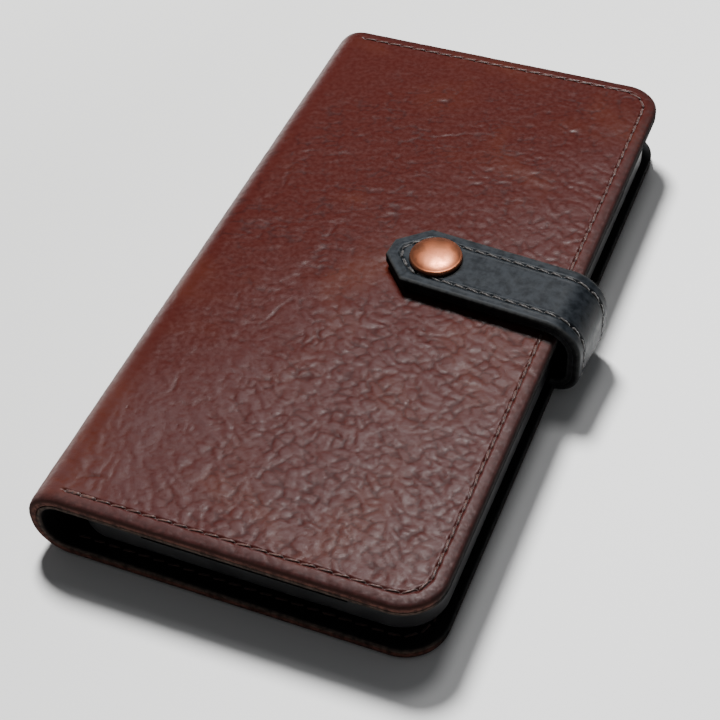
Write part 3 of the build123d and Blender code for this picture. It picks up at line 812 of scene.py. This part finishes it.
def coverSkin(name, fold, sign, step):
    pattern = coverPattern(step, grooveRows)
    s, v, inward = pattern[:3]
    relief, share, pebbledSheen = hideHeight(sign * (s - bendLength * 0.5), v, hideRelief)
    # calmer on the spine, beside the cut edge and in the stitching groove
    calm = cover["spineCalm"]
    relief = relief * (calm + (1 - calm) * smoothStep(2 * mm, 14 * mm, s))
    calm = cover["edgeCalm"]
    pressed = calm + (1 - calm) * smoothStep(2.4 * mm, 5.2 * mm, inward)
    relief = relief * pressed - cover["edgeFall"] * smoothStep(3.0 * mm, 0.3 * mm, inward) ** 2
    groove, channel = stitchGroove(inward, cover["stitchInset"], hideRelief)
    rowStart = coverHoles[0][0]
    inRow = smoothStep(rowStart - 1.3 * mm, rowStart - 0.2 * mm, s)
    relief = relief * (1 - cover["grooveCalm"] * channel * inRow) + groove * inRow
    pits = valley(nearHoles(s, v, coverHoles), hideRelief["pitHalf"])
    relief = relief - hideRelief["pit"] * mm * pits
    # painted shade: the stitching groove and the stitch holes get a lower share, so the material
    # paints them darker
    share = np.clip(share - 0.45 * channel * inRow - 0.5 * pits, 0, 1)
    share = share * pressed + cover["edgeTone"] * (1 - pressed)
    top = coverLeather - cover["sink"] + np.minimum(relief, cover["highest"])
    edges = {"shown": cover["edgeRound"], "hidden": cover["edgeUnder"], "rows": 5, "tint": 0.85}
    warm = smoothStep(cover["warmAcross"], 6 * mm, s + 0.25 * (v + halfLength))
    warm = warm * smoothStep(-5 * mm, cover["warmAlong"], v)
    bend = smoothStep(7 * mm, 1.5 * mm, s)
    # the relief share carries the painted sheen and the painted shade; the pebbled share says where
    # the painted sheen lies
    values = {"relief": share, "pebbledSheen": pebbledSheen, "bend": bend, "warm": warm}
    return sheetObject(name, pattern, top, 0.0, placeOn(fold), edges, values)


def arcPoints(centre, radius, first, last, count):
    points = []
    for k in range(count + 1):
        turn = math.radians(first + (last - first) * k / count)
        points.append((centre[0] + radius * math.cos(turn), centre[1] + radius * math.sin(turn)))
    return points


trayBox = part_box("phone_tray")
camera = {"width": 30.0 * mm, "height": 16.0 * mm, "inset": 7.0 * mm, "corner": 5.0 * mm,
          "step": 1.0 * mm}


def openWindow(piece, steps, depthLow, depthHigh):
    # the camera's rounded window, cut straight through a sheet, wider by so many steps
    margin = steps * camera["step"]
    corner = camera["corner"] + margin
    right, top = [trayBox[1][k] - camera["inset"] + margin for k in (0, 1)]
    left = trayBox[1][0] - camera["inset"] - camera["width"] - margin
    bottom = trayBox[1][1] - camera["inset"] - camera["height"] - margin
    rim = []
    for cx, cy, first in ((right - corner, top - corner, 0), (left + corner, top - corner, 90),
                          (left + corner, bottom + corner, 180),
                          (right - corner, bottom + corner, 270)):
        rim += arcPoints((cx, cy), corner, first, first + 90, 8)
    count = len(rim)
    points = [(x, y, depth) for depth in (depthLow, depthHigh) for x, y in rim]
    faces = [list(range(count))[::-1], list(range(count, 2 * count))]
    for k in range(count):
        n = (k + 1) % count
        faces.append([k, n, count + n, count + k])
    cutter = addObject("windowCutter", newMesh("windowCutter", points, faces))
    cut = piece.modifiers.new("window", "BOOLEAN")
    cut.object, cut.operation, cut.solver = cutter, "DIFFERENCE", "EXACT"
    bpy.context.view_layer.update()
    shape = piece.evaluated_get(bpy.context.evaluated_depsgraph_get())
    piece.data = bpy.data.meshes.new_from_object(shape)
    piece.modifiers.clear()
    bpy.data.objects.remove(cutter)


frontSkin = coverSkin("front_leather_sheet", frontFold, 1, cover["step"])
finishPiece(frontSkin, "coverLeather", ["front_cover_leather", "spine_leather"])
backSkin = coverSkin("back_leather_sheet", backFold, -1, cover["backStep"])
openWindow(backSkin, 2, -mm, coverLeather + 0.2 * mm)
finishPiece(backSkin, "coverLeather", ["back_cover_leather", "spine_leather"])
frontStart, frontEnd = bendEnds(frontFold, placeOn(frontFold))
backStart, backEnd = bendEnds(backFold, placeOn(backFold))
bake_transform(frontSkin)
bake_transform(backSkin)
print("cover leather cut, tooled and folded")

lining = {"grain": 0.035, "grainSize": 1.6, "step": 0.8 * mm, "edgeRound": 0.35 * mm,
          "edgeUnder": 0.10 * mm}


def liningSheet(name, fold, sign):
    pattern = coverPattern(lining["step"], edgeRows)
    s, v = pattern[:2]
    size = lining["grainSize"]
    grain = layeredNoise(sign * s / mm / size, v / mm / size, 5)
    face = -coverLining + lining["grain"] * mm * (grain + 0.8)
    edges = {"shown": lining["edgeRound"], "hidden": lining["edgeUnder"], "rows": 4, "tint": 0.6}
    # painted shade: the low parts of the grain get a lower share, so the material paints them
    # darker
    share = np.clip(0.6 + 0.3 * grain, 0, 1)
    return sheetObject(name, pattern, face, 0.0, placeOn(fold), edges, {"relief": share})


frontLining = liningSheet("front_lining_sheet", frontFold, 1)
finishPiece(frontLining, "liningLeather", ["front_lining", "spine_lining"])
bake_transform(frontLining)
backLining = liningSheet("back_lining_sheet", backFold, -1)
openWindow(backLining, 1, coverLeather - 0.2 * mm, coverLeather + coverLining + 0.5 * mm)
finishPiece(backLining, "liningLeather", ["back_lining", "spine_lining"])
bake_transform(backLining)

pocket = {"creaseIn": 2.6 * mm, "creaseDepth": 0.10 * mm, "creaseHalf": 0.35 * mm,
          "corner": 1.0 * mm, "openCorner": 8.3 * mm, "edgeRound": 0.22 * mm,
          "edgeUnder": 0.04 * mm, "step": 0.8 * mm, "grain": 0.03, "grainSize": 1.6}


def pocketLeaf(name, node, corner, seed):
    # a thin leaf hanging on the lining, its shown face down and a creased line along its mouth
    low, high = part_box(node)
    width, half = high[0] - low[0], (high[1] - low[1]) / 2
    middle = (high[1] + low[1]) / 2
    mouthRows = np.concatenate([edgeRows, np.arange(1.4, 4.2, 0.3) * mm])
    sLines = gridLines(0, width, pocket["step"], mouthRows, edgeRows)
    vLines = gridLines(-half, half, pocket["step"], edgeRows, edgeRows)
    pattern = roundedPanel(sLines, vLines, corner)
    s, v, inward, outS, outV = pattern
    inward = np.minimum(inward, s)
    atMouth = s < np.minimum(half - np.abs(v), width - s)
    pattern = (s, v, inward, np.where(atMouth, -1.0, outS), np.where(atMouth, 0.0, outV))
    crease = valley(s - pocket["creaseIn"], pocket["creaseHalf"])
    grain = layeredNoise(s / mm / pocket["grainSize"], v / mm / pocket["grainSize"], seed)
    face = low[2] - high[2] + pocket["grain"] * mm * (grain + 0.8) + pocket["creaseDepth"] * crease

    def place(s, v, h):
        return np.stack([low[0] + s, middle + v, high[2] + h], -1)

    edges = {"shown": pocket["edgeRound"], "hidden": pocket["edgeUnder"], "rows": 4, "tint": 0.6,
             "seam": False}
    # painted shade: the pocket's crease and the low parts of its grain get a lower share, so the
    # material paints them darker
    share = np.clip(0.6 + 0.3 * grain - 0.5 * crease, 0, 1)
    piece = sheetObject(name, pattern, face, 0.0, place, edges, {"relief": share})
    finishPiece(piece, "liningLeather", [node])
    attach(piece, "front_cover")


pocketLeaf("cash_pocket_leaf", "cash_pocket", pocket["openCorner"], 31)
pocketLeaf("card_pocket_rear_leaf", "card_pocket_rear", pocket["corner"], 37)
pocketLeaf("card_pocket_front_leaf", "card_pocket_front", pocket["corner"], 43)
print("lining and pockets ready")

coverThread = {"radius": 0.27 * mm, "fill": 0.90, "slant": 7.0, "rise": -0.06 * mm,
               "sink": 0.28 * mm, "twist": 8.5, "seed": 3}
lockThread = dict(coverThread, radius=0.46 * mm, fill=1.0, slant=3.0, rise=-0.20 * mm, seed=4)


def coverStitches(name, fold, body, node):
    # the row itself, then the thicker doubled stitches that lock its start
    for ending, holes, thread, skip in (("", coverHoles, coverThread, (0, 1)),
                                        ("_locks", coverHoles[:3], lockThread, ())):
        base = coverLeather - cover["sink"]
        row = stitchRow(name + ending, holes, thread, placeOn(fold), base, 1, skip)
        finishPiece(row, "brownThread", [node])
        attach(row, body)


coverStitches("front_stitch_row", frontFold, "front_cover", "front_cover_stitches")
coverStitches("back_stitch_row", backFold, "back", "back_cover_stitches")
insideRow = stitchRow("back_inside_row", coverHoles, coverThread, placeOn(backFold),
                      -coverLining, -1)
finishPiece(insideRow, "brownThread", ["back_cover_stitches"])
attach(insideRow, "back")


def cardStitches():
    low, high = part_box("card_pocket_front")
    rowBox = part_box("card_pocket_stitches")
    start, stop = rowBox[0][0], rowBox[1][0]

    def place(s, v, h):
        return np.stack([s, v, low[2] + h], -1)

    for label, y in (("near", rowBox[0][1]), ("far", rowBox[1][1])):
        holes = stitchSpots(np.array([(start, y), (stop, y)]), cover["stitchPitch"])
        row = stitchRow("card_stitches_" + label, holes, coverThread, place, 0.0, -1)
        finishPiece(row, "greyThread", ["card_pocket_stitches"])
        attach(row, "front_cover")


cardStitches()
print("cover stitching sewn")

# the closing strap, in its own frame: u along it from the press stud, w across it
swing, lift = joints["strap_swing"], joints["strap_lift"]
alongStrap = (lift["axis"][1], -lift["axis"][0])
tabBox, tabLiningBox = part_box("strap_tab_leather"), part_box("strap_tab_lining")
strap = {
    "width": 18.0 * mm, "lining": 1.6 * mm, "liningPast": 0.6 * mm, "step": 0.4 * mm,
    "tipReach": 11.4 * mm, "tipHalf": 2.5 * mm, "shoulder": 4.8 * mm,
    "edgeRound": 0.62 * mm, "edgeUnder": 0.14 * mm,
    "stitchInset": 3.0 * mm, "stitchPitch": 3.1 * mm,
    "rowTurn": 3.6 * mm, "rowTip": 8.4 * mm, "rowTipHalf": 1.35 * mm, "rowRound": 0.8 * mm,
    "grooveHalf": 0.48, "grooveDepth": 0.18, "grooveLip": 0.04, "lipHalf": 0.25,
    "pit": 0.2, "pitHalf": 0.4 * mm, "grain": 0.020, "grainSize": 0.95,
    "swell": 0.05, "swellSize": 7, "highest": 0.03, "threadSink": 0.08 * mm, "rowShare": 0.92,
}
strapLeather = tabBox[1][2] - tabLiningBox[1][2]
strapHalf = strap["width"] / 2
strapRow = strapHalf - strap["stitchInset"]


def strapU(x, y):
    return (x - snapCentre[0]) * alongStrap[0] + (y - snapCentre[1]) * alongStrap[1]


upperRadius = (tabBox[1][2] - strapLeather - lift["pos_m"][2]) / (1 - halfRoot)
upperCentre = (strapU(*lift["pos_m"][:2]) - upperRadius * halfRoot,
               lift["pos_m"][2] - upperRadius * halfRoot)
lowerRadius = (swing["pos_m"][2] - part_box("strap_base")[0][2] - strapLeather) / (1 - halfRoot)
lowerCentre = (strapU(*swing["pos_m"][:2]) - lowerRadius * halfRoot,
               swing["pos_m"][2] + lowerRadius * halfRoot)
wallHalf = (upperCentre[1] - lowerCentre[1]) / 2
upperFold = {"half": wallHalf, "radius": upperRadius, "centre": upperCentre, "side": 1, "up": 1}
lowerFold = {"half": wallHalf, "radius": lowerRadius, "centre": lowerCentre, "side": 1, "up": -1}
upperBend = upperRadius * math.pi / 2
lowerBend = lowerRadius * math.pi / 2


def placeStrap(fold):
    def place(s, w, h):
        u, z = foldPoint(s, h, fold)
        w = np.broadcast_to(w, u.shape)
        x = snapCentre[0] + u * alongStrap[0] - w * alongStrap[1]
        y = snapCentre[1] + u * alongStrap[1] + w * alongStrap[0]
        return np.stack([x, y, z], -1)
    return place


def tabS(u):
    # pattern distance of a place on the flat tab
    return upperCentre[0] - u + wallHalf + upperBend


def strapPattern(sEnd, tipped, rows):
    half = strapHalf
    sLines = gridLines(0, sEnd, strap["step"], plainRows, rows)
    if tipped:
        sLines = np.unique(np.append(sLines, tabS(-strap["shoulder"])))
    wLines = gridLines(-half, half, strap["step"], rows, rows)
    s, share = np.meshgrid(sLines, wLines / half, indexing="ij")
    slope = np.array([strap["tipReach"] - strap["shoulder"], half - strap["tipHalf"]])
    slope = slope / np.hypot(*slope)
    past = np.clip(s - tabS(-strap["shoulder"]), 0, None) if tipped else 0 * s
    reach = half - past * slope[1] / slope[0]
    w = share * reach
    inward = np.minimum(reach - np.abs(w), sEnd - s)
    if tipped:
        inward = np.minimum(half - np.abs(w), np.minimum((reach - np.abs(w)) * slope[0], sEnd - s))
    atEnd = (sEnd - s) < (reach - np.abs(w)) * slope[0]
    side = np.sign(w)
    outS = np.where(atEnd, 1.0, np.where(past > 0, slope[1], 0.0))
    outW = np.where(atEnd, 0.0, np.where(past > 0, slope[0] * side, side))
    return s, w, inward, outS, outW


def strapPath():
    # one side, round the tip just clear of the cap, and back along the other side
    turnIn, tipIn = tabS(-strap["rowTurn"]), tabS(-strap["rowTip"])
    half, row = strap["rowTipHalf"], strapRow
    corners = [(0, -row), (turnIn, -row), (tipIn, -half), (tipIn, half), (turnIn, row), (0, row)]
    return pathSamples(corners, strap["rowRound"])


def fromPath(s, w, path):
    # distance to the stitch line
    nearest = np.full(s.shape, 1.0)
    for a, b in zip(path[:-1], path[1:]):
        span = b - a
        share = ((s - a[0]) * span[0] + (w - a[1]) * span[1]) / max(span @ span, 1e-12)
        share = np.clip(share, 0, 1)
        away = np.hypot(s - a[0] - share * span[0], w - a[1] - share * span[1])
        nearest = np.minimum(nearest, away)
    return nearest


upperHoles = stitchSpots(strapPath(), strap["stitchPitch"])
lowerSpan = wallHalf + lowerBend * strap["rowShare"]
lowerPaths = [np.array([(0.0, row), (lowerSpan, row)]) for row in (strapRow, -strapRow)]
lowerHoles = [stitchSpots(path, strap["stitchPitch"]) for path in lowerPaths]


def strapLayer(name, fold, sEnd, tipped, shown, sign, paths, holes):
    # one of the strap's two layers: shown is 1 for the outer leather and -1 for the lining
    rows = np.concatenate([edgeRows, np.arange(1.3, 4.6, 0.22) * mm])
    pattern = strapPattern(sEnd, tipped, rows)
    s, w, inward = pattern[:3]
    thickness = strapLeather if shown > 0 else strap["lining"]
    x, y = sign * s / mm, w / mm
    near, after = cellNoise(x / strap["grainSize"], y / strap["grainSize"], 51)
    grain = smoothStep(0.0, 0.35, after - near) - 0.5
    swell = layeredNoise(x / strap["swellSize"], y / strap["swellSize"], 55, 2)
    offset = np.full(s.shape, 9.0)
    for path in paths:
        offset = np.minimum(offset, fromPath(s, w, path) / mm)
    channel = smoothStep(strap["grooveHalf"], strap["grooveHalf"] * 0.3, offset)
    lip = valley(offset - strap["grooveHalf"] - 0.25, strap["lipHalf"])
    pits = valley(nearHoles(s, w, holes), strap["pitHalf"])
    rise = strap["grain"] * grain + strap["swell"] * (swell - 0.6) + strap["grooveLip"] * lip
    rise = rise - strap["grooveDepth"] * channel - strap["pit"] * pits
    rise = rise * smoothStep(0.0, 0.9 * mm, inward)
    face = shown * (thickness + np.minimum(rise, strap["highest"]) * mm)
    # painted shade: the stitching groove and holes get a lower share, so the material paints them
    # darker
    share = np.clip(0.62 + 0.35 * grain - 0.6 * channel - 0.5 * pits, 0, 1)
    edges = {"shown": strap["edgeRound"], "hidden": strap["edgeUnder"], "rows": 5, "tint": 0.7}
    values = {"relief": share}
    return sheetObject(name, pattern, face, 0.0, placeStrap(fold), edges, values, coarse=3)


upperEnd = tabS(-strap["tipReach"])
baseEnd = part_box("strap_base")[0][0] - snapCentre[0] + strapHalf * abs(alongStrap[1])
baseEnd = baseEnd / alongStrap[0]
lowerEnd = wallHalf + lowerBend + lowerCentre[0] - baseEnd
upperStart, upperStop = bendEnds(upperFold, placeStrap(upperFold))
lowerStart, lowerStop = bendEnds(lowerFold, placeStrap(lowerFold))
bothRows = np.concatenate(lowerHoles)
strapRows = [strapPath()]
upperLeather = strapLayer("strap_upper_leather", upperFold, upperEnd, True, 1, 1,
                          strapRows, upperHoles)
finishPiece(upperLeather, "strapLeather",
            ["strap_tab_leather", "strap_side_leather"])
upperLining = strapLayer("strap_upper_lining", upperFold, upperEnd, True, -1, 1,
                         strapRows, upperHoles)
finishPiece(upperLining, "strapLeather", ["strap_tab_lining", "strap_side_lining"])
lowerLeather = strapLayer("strap_lower_leather", lowerFold, lowerEnd, False, 1, -1,
                          lowerPaths, bothRows)
finishPiece(lowerLeather, "strapLeather", ["strap_base", "strap_side_leather"])
liningEnd = wallHalf + lowerBend + strap["liningPast"]
lowerLining = strapLayer("strap_lower_lining", lowerFold, liningEnd, False, -1, -1,
                         lowerPaths, bothRows)
finishPiece(lowerLining, "strapLeather", ["strap_side_lining"])
for piece in (upperLeather, upperLining):
    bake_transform(piece)
for piece in (lowerLeather, lowerLining):
    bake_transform(piece)

strapThread = {"radius": 0.29 * mm, "fill": 0.90, "slant": 9.0, "rise": 0.0, "sink": 0.30 * mm,
               "twist": 8.0, "seed": 8}
for label, shown, thickness in (("outer", 1, strapLeather), ("inner", -1, strap["lining"])):
    face = shown * (thickness - strap["threadSink"])
    upperRow = stitchRow("strap_upper_stitches_" + label, upperHoles, strapThread,
                         placeStrap(upperFold), face, shown)
    finishPiece(upperRow, "greyThread",
                ["strap_tab_stitches", "strap_side_stitches"])
    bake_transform(upperRow)
    for side, holes in zip(("far", "near"), lowerHoles):
        lowerRow = stitchRow("strap_lower_stitches_" + side + "_" + label, holes, strapThread,
                             placeStrap(lowerFold), face, shown)
        finishPiece(lowerRow, "greyThread", ["strap_side_stitches"])
        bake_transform(lowerRow)
print("strap folded and stitched")


def latheObject(name, profile, rimLow, rimHigh):
    # a turned piece from (radius, height) points; the rim value darkens it toward its edge
    ring = 96
    points, faces, rim = [], [], []
    for radius, height in profile:
        for k in range(ring):
            turn = 2 * math.pi * k / ring
            x = snapCentre[0] + radius * math.cos(turn)
            points.append((x, snapCentre[1] + radius * math.sin(turn), height))
            rim.append(float(np.clip((radius - rimLow) / (rimHigh - rimLow), 0, 1)))
    for row in range(len(profile) - 1):
        low, high = row * ring, (row + 1) * ring
        for k in range(ring):
            n = (k + 1) % ring
            faces.append([low + k, low + n, high + n, high + k])
    mesh = newMesh(name, points, faces)
    addValues(mesh, "rim", rim)
    shadeMesh(mesh, weldSides=ring)
    return addObject(name, mesh)


snap = {"edge": 0.9 * mm, "sink": 0.05 * mm, "postRadius": 1.7 * mm, "rim": 0.32 * mm,
        "crown": 0.93, "fall": 0.86, "early": 0.55, "late": 0.45}


def domeProfile(base, height, edgeHeight, radius):
    # a shallow dome that steepens near its edge, then rolls under to the base
    above = height - edgeHeight
    points = []
    for k in range(22):
        share = k / 21 * snap["crown"]
        fall = snap["early"] * share ** 2 + snap["late"] * share ** 5
        points.append((radius * share, base + height - above * snap["fall"] * fall))
    last = points[-1]
    for k in range(1, 9):
        turn = math.radians(90 * k / 8)
        points.append((last[0] + (radius - last[0]) * math.sin(turn),
                       last[1] - (last[1] - base - edgeHeight * 0.45) * (1 - math.cos(turn))))
    points.append((radius - 0.10 * mm, base + edgeHeight * 0.25))
    points.append((radius - 0.35 * mm, base + above * 0.007))
    return points


capBase = tabBox[1][2] - snap["sink"]
profile = domeProfile(capBase, capBox[1][2] - capBase, snap["edge"], capRadius)
profile += [(snap["postRadius"], capBase), (snap["postRadius"], capBox[0][2]), (0.0, capBox[0][2])]
cap = latheObject("snap_cap_dome", profile, capRadius - snap["rim"], capRadius)
finishPiece(cap, "antiqueCopper", ["snap_cap"])
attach(cap, "strap_tab")

socketBox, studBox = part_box("snap_socket"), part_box("snap_stud")


socketRing = {"hole": 1.75 * mm, "bore": 2.75 * mm, "bead": 0.42 * mm, "bevel": 0.2 * mm,
              "lipRadius": 0.45 * mm, "lip": 0.55 * mm, "dish": 0.12 * mm, "plate": 0.4 * mm}


def socketProfile():
    low, high = socketBox[0][2], socketBox[1][2]
    outer = (socketBox[1][0] - socketBox[0][0]) / 2
    hole, bore, bead, bevel, lipRadius, lip, dish, plate = socketRing.values()
    points = [(hole, high), (outer - bevel, high), (outer, high - bevel), (outer, low + lip)]
    points += arcPoints((outer - lipRadius, low + lip), lipRadius, 0, -90, 6)
    points += [(outer - 1.2 * mm, low + dish), (bore + 1.0 * mm, low + dish)]
    points += arcPoints((bore + bead, low + bead), bead, 270, 180, 6)
    return points + [(bore, high - plate), (hole, high - plate), (hole, high)]


studPost = {"head": 2.5 * mm, "neck": 2.1 * mm, "bevel": 0.25 * mm, "disc": 0.35 * mm,
            "rounding": 0.3 * mm, "tip": 1.3 * mm}


def studProfile():
    low, high = studBox[0][2], studBox[1][2]
    outer = (studBox[1][0] - studBox[0][0]) / 2
    head, neck, bevel, disc, rounding, tip = studPost.values()
    points = [(0.0, low), (outer, low), (outer, low + disc)]
    points += arcPoints((outer - bevel, low + disc), bevel, 0, 90, 5)
    points += [(head + 0.8 * mm, low + 0.5 * mm), (neck, low + 0.75 * mm), (neck, high - 0.7 * mm)]
    points += arcPoints((head - rounding, high - 0.42 * mm), rounding, -50, 60, 5)
    return points + [(tip, high), (0.9 * mm, high - 0.18 * mm), (0.0, high - 0.22 * mm)]


socket = latheObject("snap_socket_ring", socketProfile(), 4.9 * mm, 5.3 * mm)
finishPiece(socket, "snapBrass", ["snap_socket"])
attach(socket, "strap_tab")
stud = latheObject("snap_stud_post", studProfile(), 5.0 * mm, 5.3 * mm)
finishPiece(stud, "snapBrass", ["snap_stud"])
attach(stud, "front_cover")


def paintNode(node, material):
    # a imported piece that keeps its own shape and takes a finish
    piece = frame["nodes"][node]
    piece.data.materials.clear()
    piece.data.materials.append(materials[material])


paintNode("phone_tray", "trayPlastic")
paintNode("tray_tape", "foamTape")
paintNode("snap_rivet", "snapBrass")
print("press stud, tray and tape ready")

# a pale table with painted light, darker toward the far left and lighter toward the near right, a
# lamp beyond the case that casts the shadow, and one that only lays the sheen
studio = {
    "tableShadedFar": colour(0.56, 0.56, 0.55), "tableLitNear": colour(0.86, 0.86, 0.855), "tableSize": 3.0,
    "tableTone": 0.05, "tableAcross": 1.33, "tableAway": -0.49, "tableBlend": 0.2,
    "lampTurn": -36.0, "lampRise": 58.0, "lampAway": 0.9, "lampSize": 0.20, "lampPower": 25.0,
    "softTurn": -4.0, "softRise": 69.0, "softAway": 0.9, "softSize": 0.20, "softPower": 12.5,
    "fill": 0.12, "fillColour": colour(0.95, 0.97, 1.0),
}


def tableMaterial():
    material, tree, shader = startMaterial("tableTop")
    places = objectPlace(tree)
    # painted light: the table's colour runs from darker at the far left to lighter at the near
    # right, standing in for uneven light, with a faint cloud of tone over it
    parts = addNode(tree, "ShaderNodeSeparateXYZ", {"Vector": places})
    across = times(tree, parts.outputs["X"], studio["tableAcross"])
    away = times(tree, parts.outputs["Y"], studio["tableAway"])
    slope = rangeOf(tree, plus(tree, across, away), -studio["tableBlend"], studio["tableBlend"])
    clouds = rangeOf(tree, noiseOf(tree, places, 6.0, 4.0), 0.3, 0.7)
    share = mathOf(tree, "SUBTRACT", slope, times(tree, clouds, studio["tableTone"]))
    shade = mixColour(tree, share, studio["tableShadedFar"], studio["tableLitNear"])
    tree.links.new(shade, shader.inputs["Base Color"])
    shader.inputs["Roughness"].default_value = 0.55
    return material


def addTable():
    half = studio["tableSize"] / 2
    corners = [(-half, -half, 0), (half, -half, 0), (half, half, 0), (-half, half, 0)]
    mesh = newMesh("table_top", corners, [(0, 1, 2, 3)])
    mesh.materials.append(tableMaterial())
    table = addObject("table_top", mesh)
    table.location.z = cadBox[0][2] - 0.02 * mm


def addLamp(name, turn, rise, away, size, power, sheen):
    light = bpy.data.lights.new(name, "AREA")
    light.shape, light.size, light.energy = "DISK", size, power
    lamp = addObject(name, light)
    lamp.visible_glossy, lamp.visible_diffuse = sheen, not sheen
    turn, rise = math.radians(turn), math.radians(rise)
    out = (math.sin(turn) * math.cos(rise), math.cos(turn) * math.cos(rise), math.sin(rise))
    lamp.location = [c * away for c in out]
    lamp.rotation_euler = Vector(out).to_track_quat("Z", "Y").to_euler()


def addWorld():
    world = bpy.data.worlds.new("studio")
    bpy.context.scene.world = world
    world.use_nodes = True
    sky = world.node_tree.nodes["Background"]
    sky.inputs["Color"].default_value = studio["fillColour"]
    sky.inputs["Strength"].default_value = studio["fill"]


addTable()
addWorld()
addLamp("lamp", studio["lampTurn"], studio["lampRise"], studio["lampAway"], studio["lampSize"],
        studio["lampPower"], False)
addLamp("softLamp", studio["softTurn"], studio["softRise"], studio["softAway"], studio["softSize"],
        studio["softPower"], True)

lens = {"turn": 24.8, "rise": 46.85, "roll": -3.75, "away": 358.8, "focal": 80.0, "sensor": 36.0,
        "lookX": 3.7, "lookY": -20.6, "lookZ": 10.0}


def addCamera():
    data = bpy.data.cameras.new("camera")
    data.lens, data.sensor_width = lens["focal"], lens["sensor"]
    data.clip_start, data.clip_end = 0.01, 10
    body = addObject("camera", data)
    turn, rise = math.radians(lens["turn"]), math.radians(lens["rise"])
    level = math.cos(rise)
    back = Vector((math.sin(turn) * level, -math.cos(turn) * level, math.sin(rise)))
    target = Vector((lens["lookX"], lens["lookY"], lens["lookZ"])) * mm
    body.location = target + back * lens["away"] * mm
    aim = back.to_track_quat("Z", "Y").to_matrix()
    body.rotation_euler = (aim @ Matrix.Rotation(math.radians(lens["roll"]), 3, "Z")).to_euler()
    bpy.context.scene.camera = body


addCamera()
print("table, lamps and camera set")
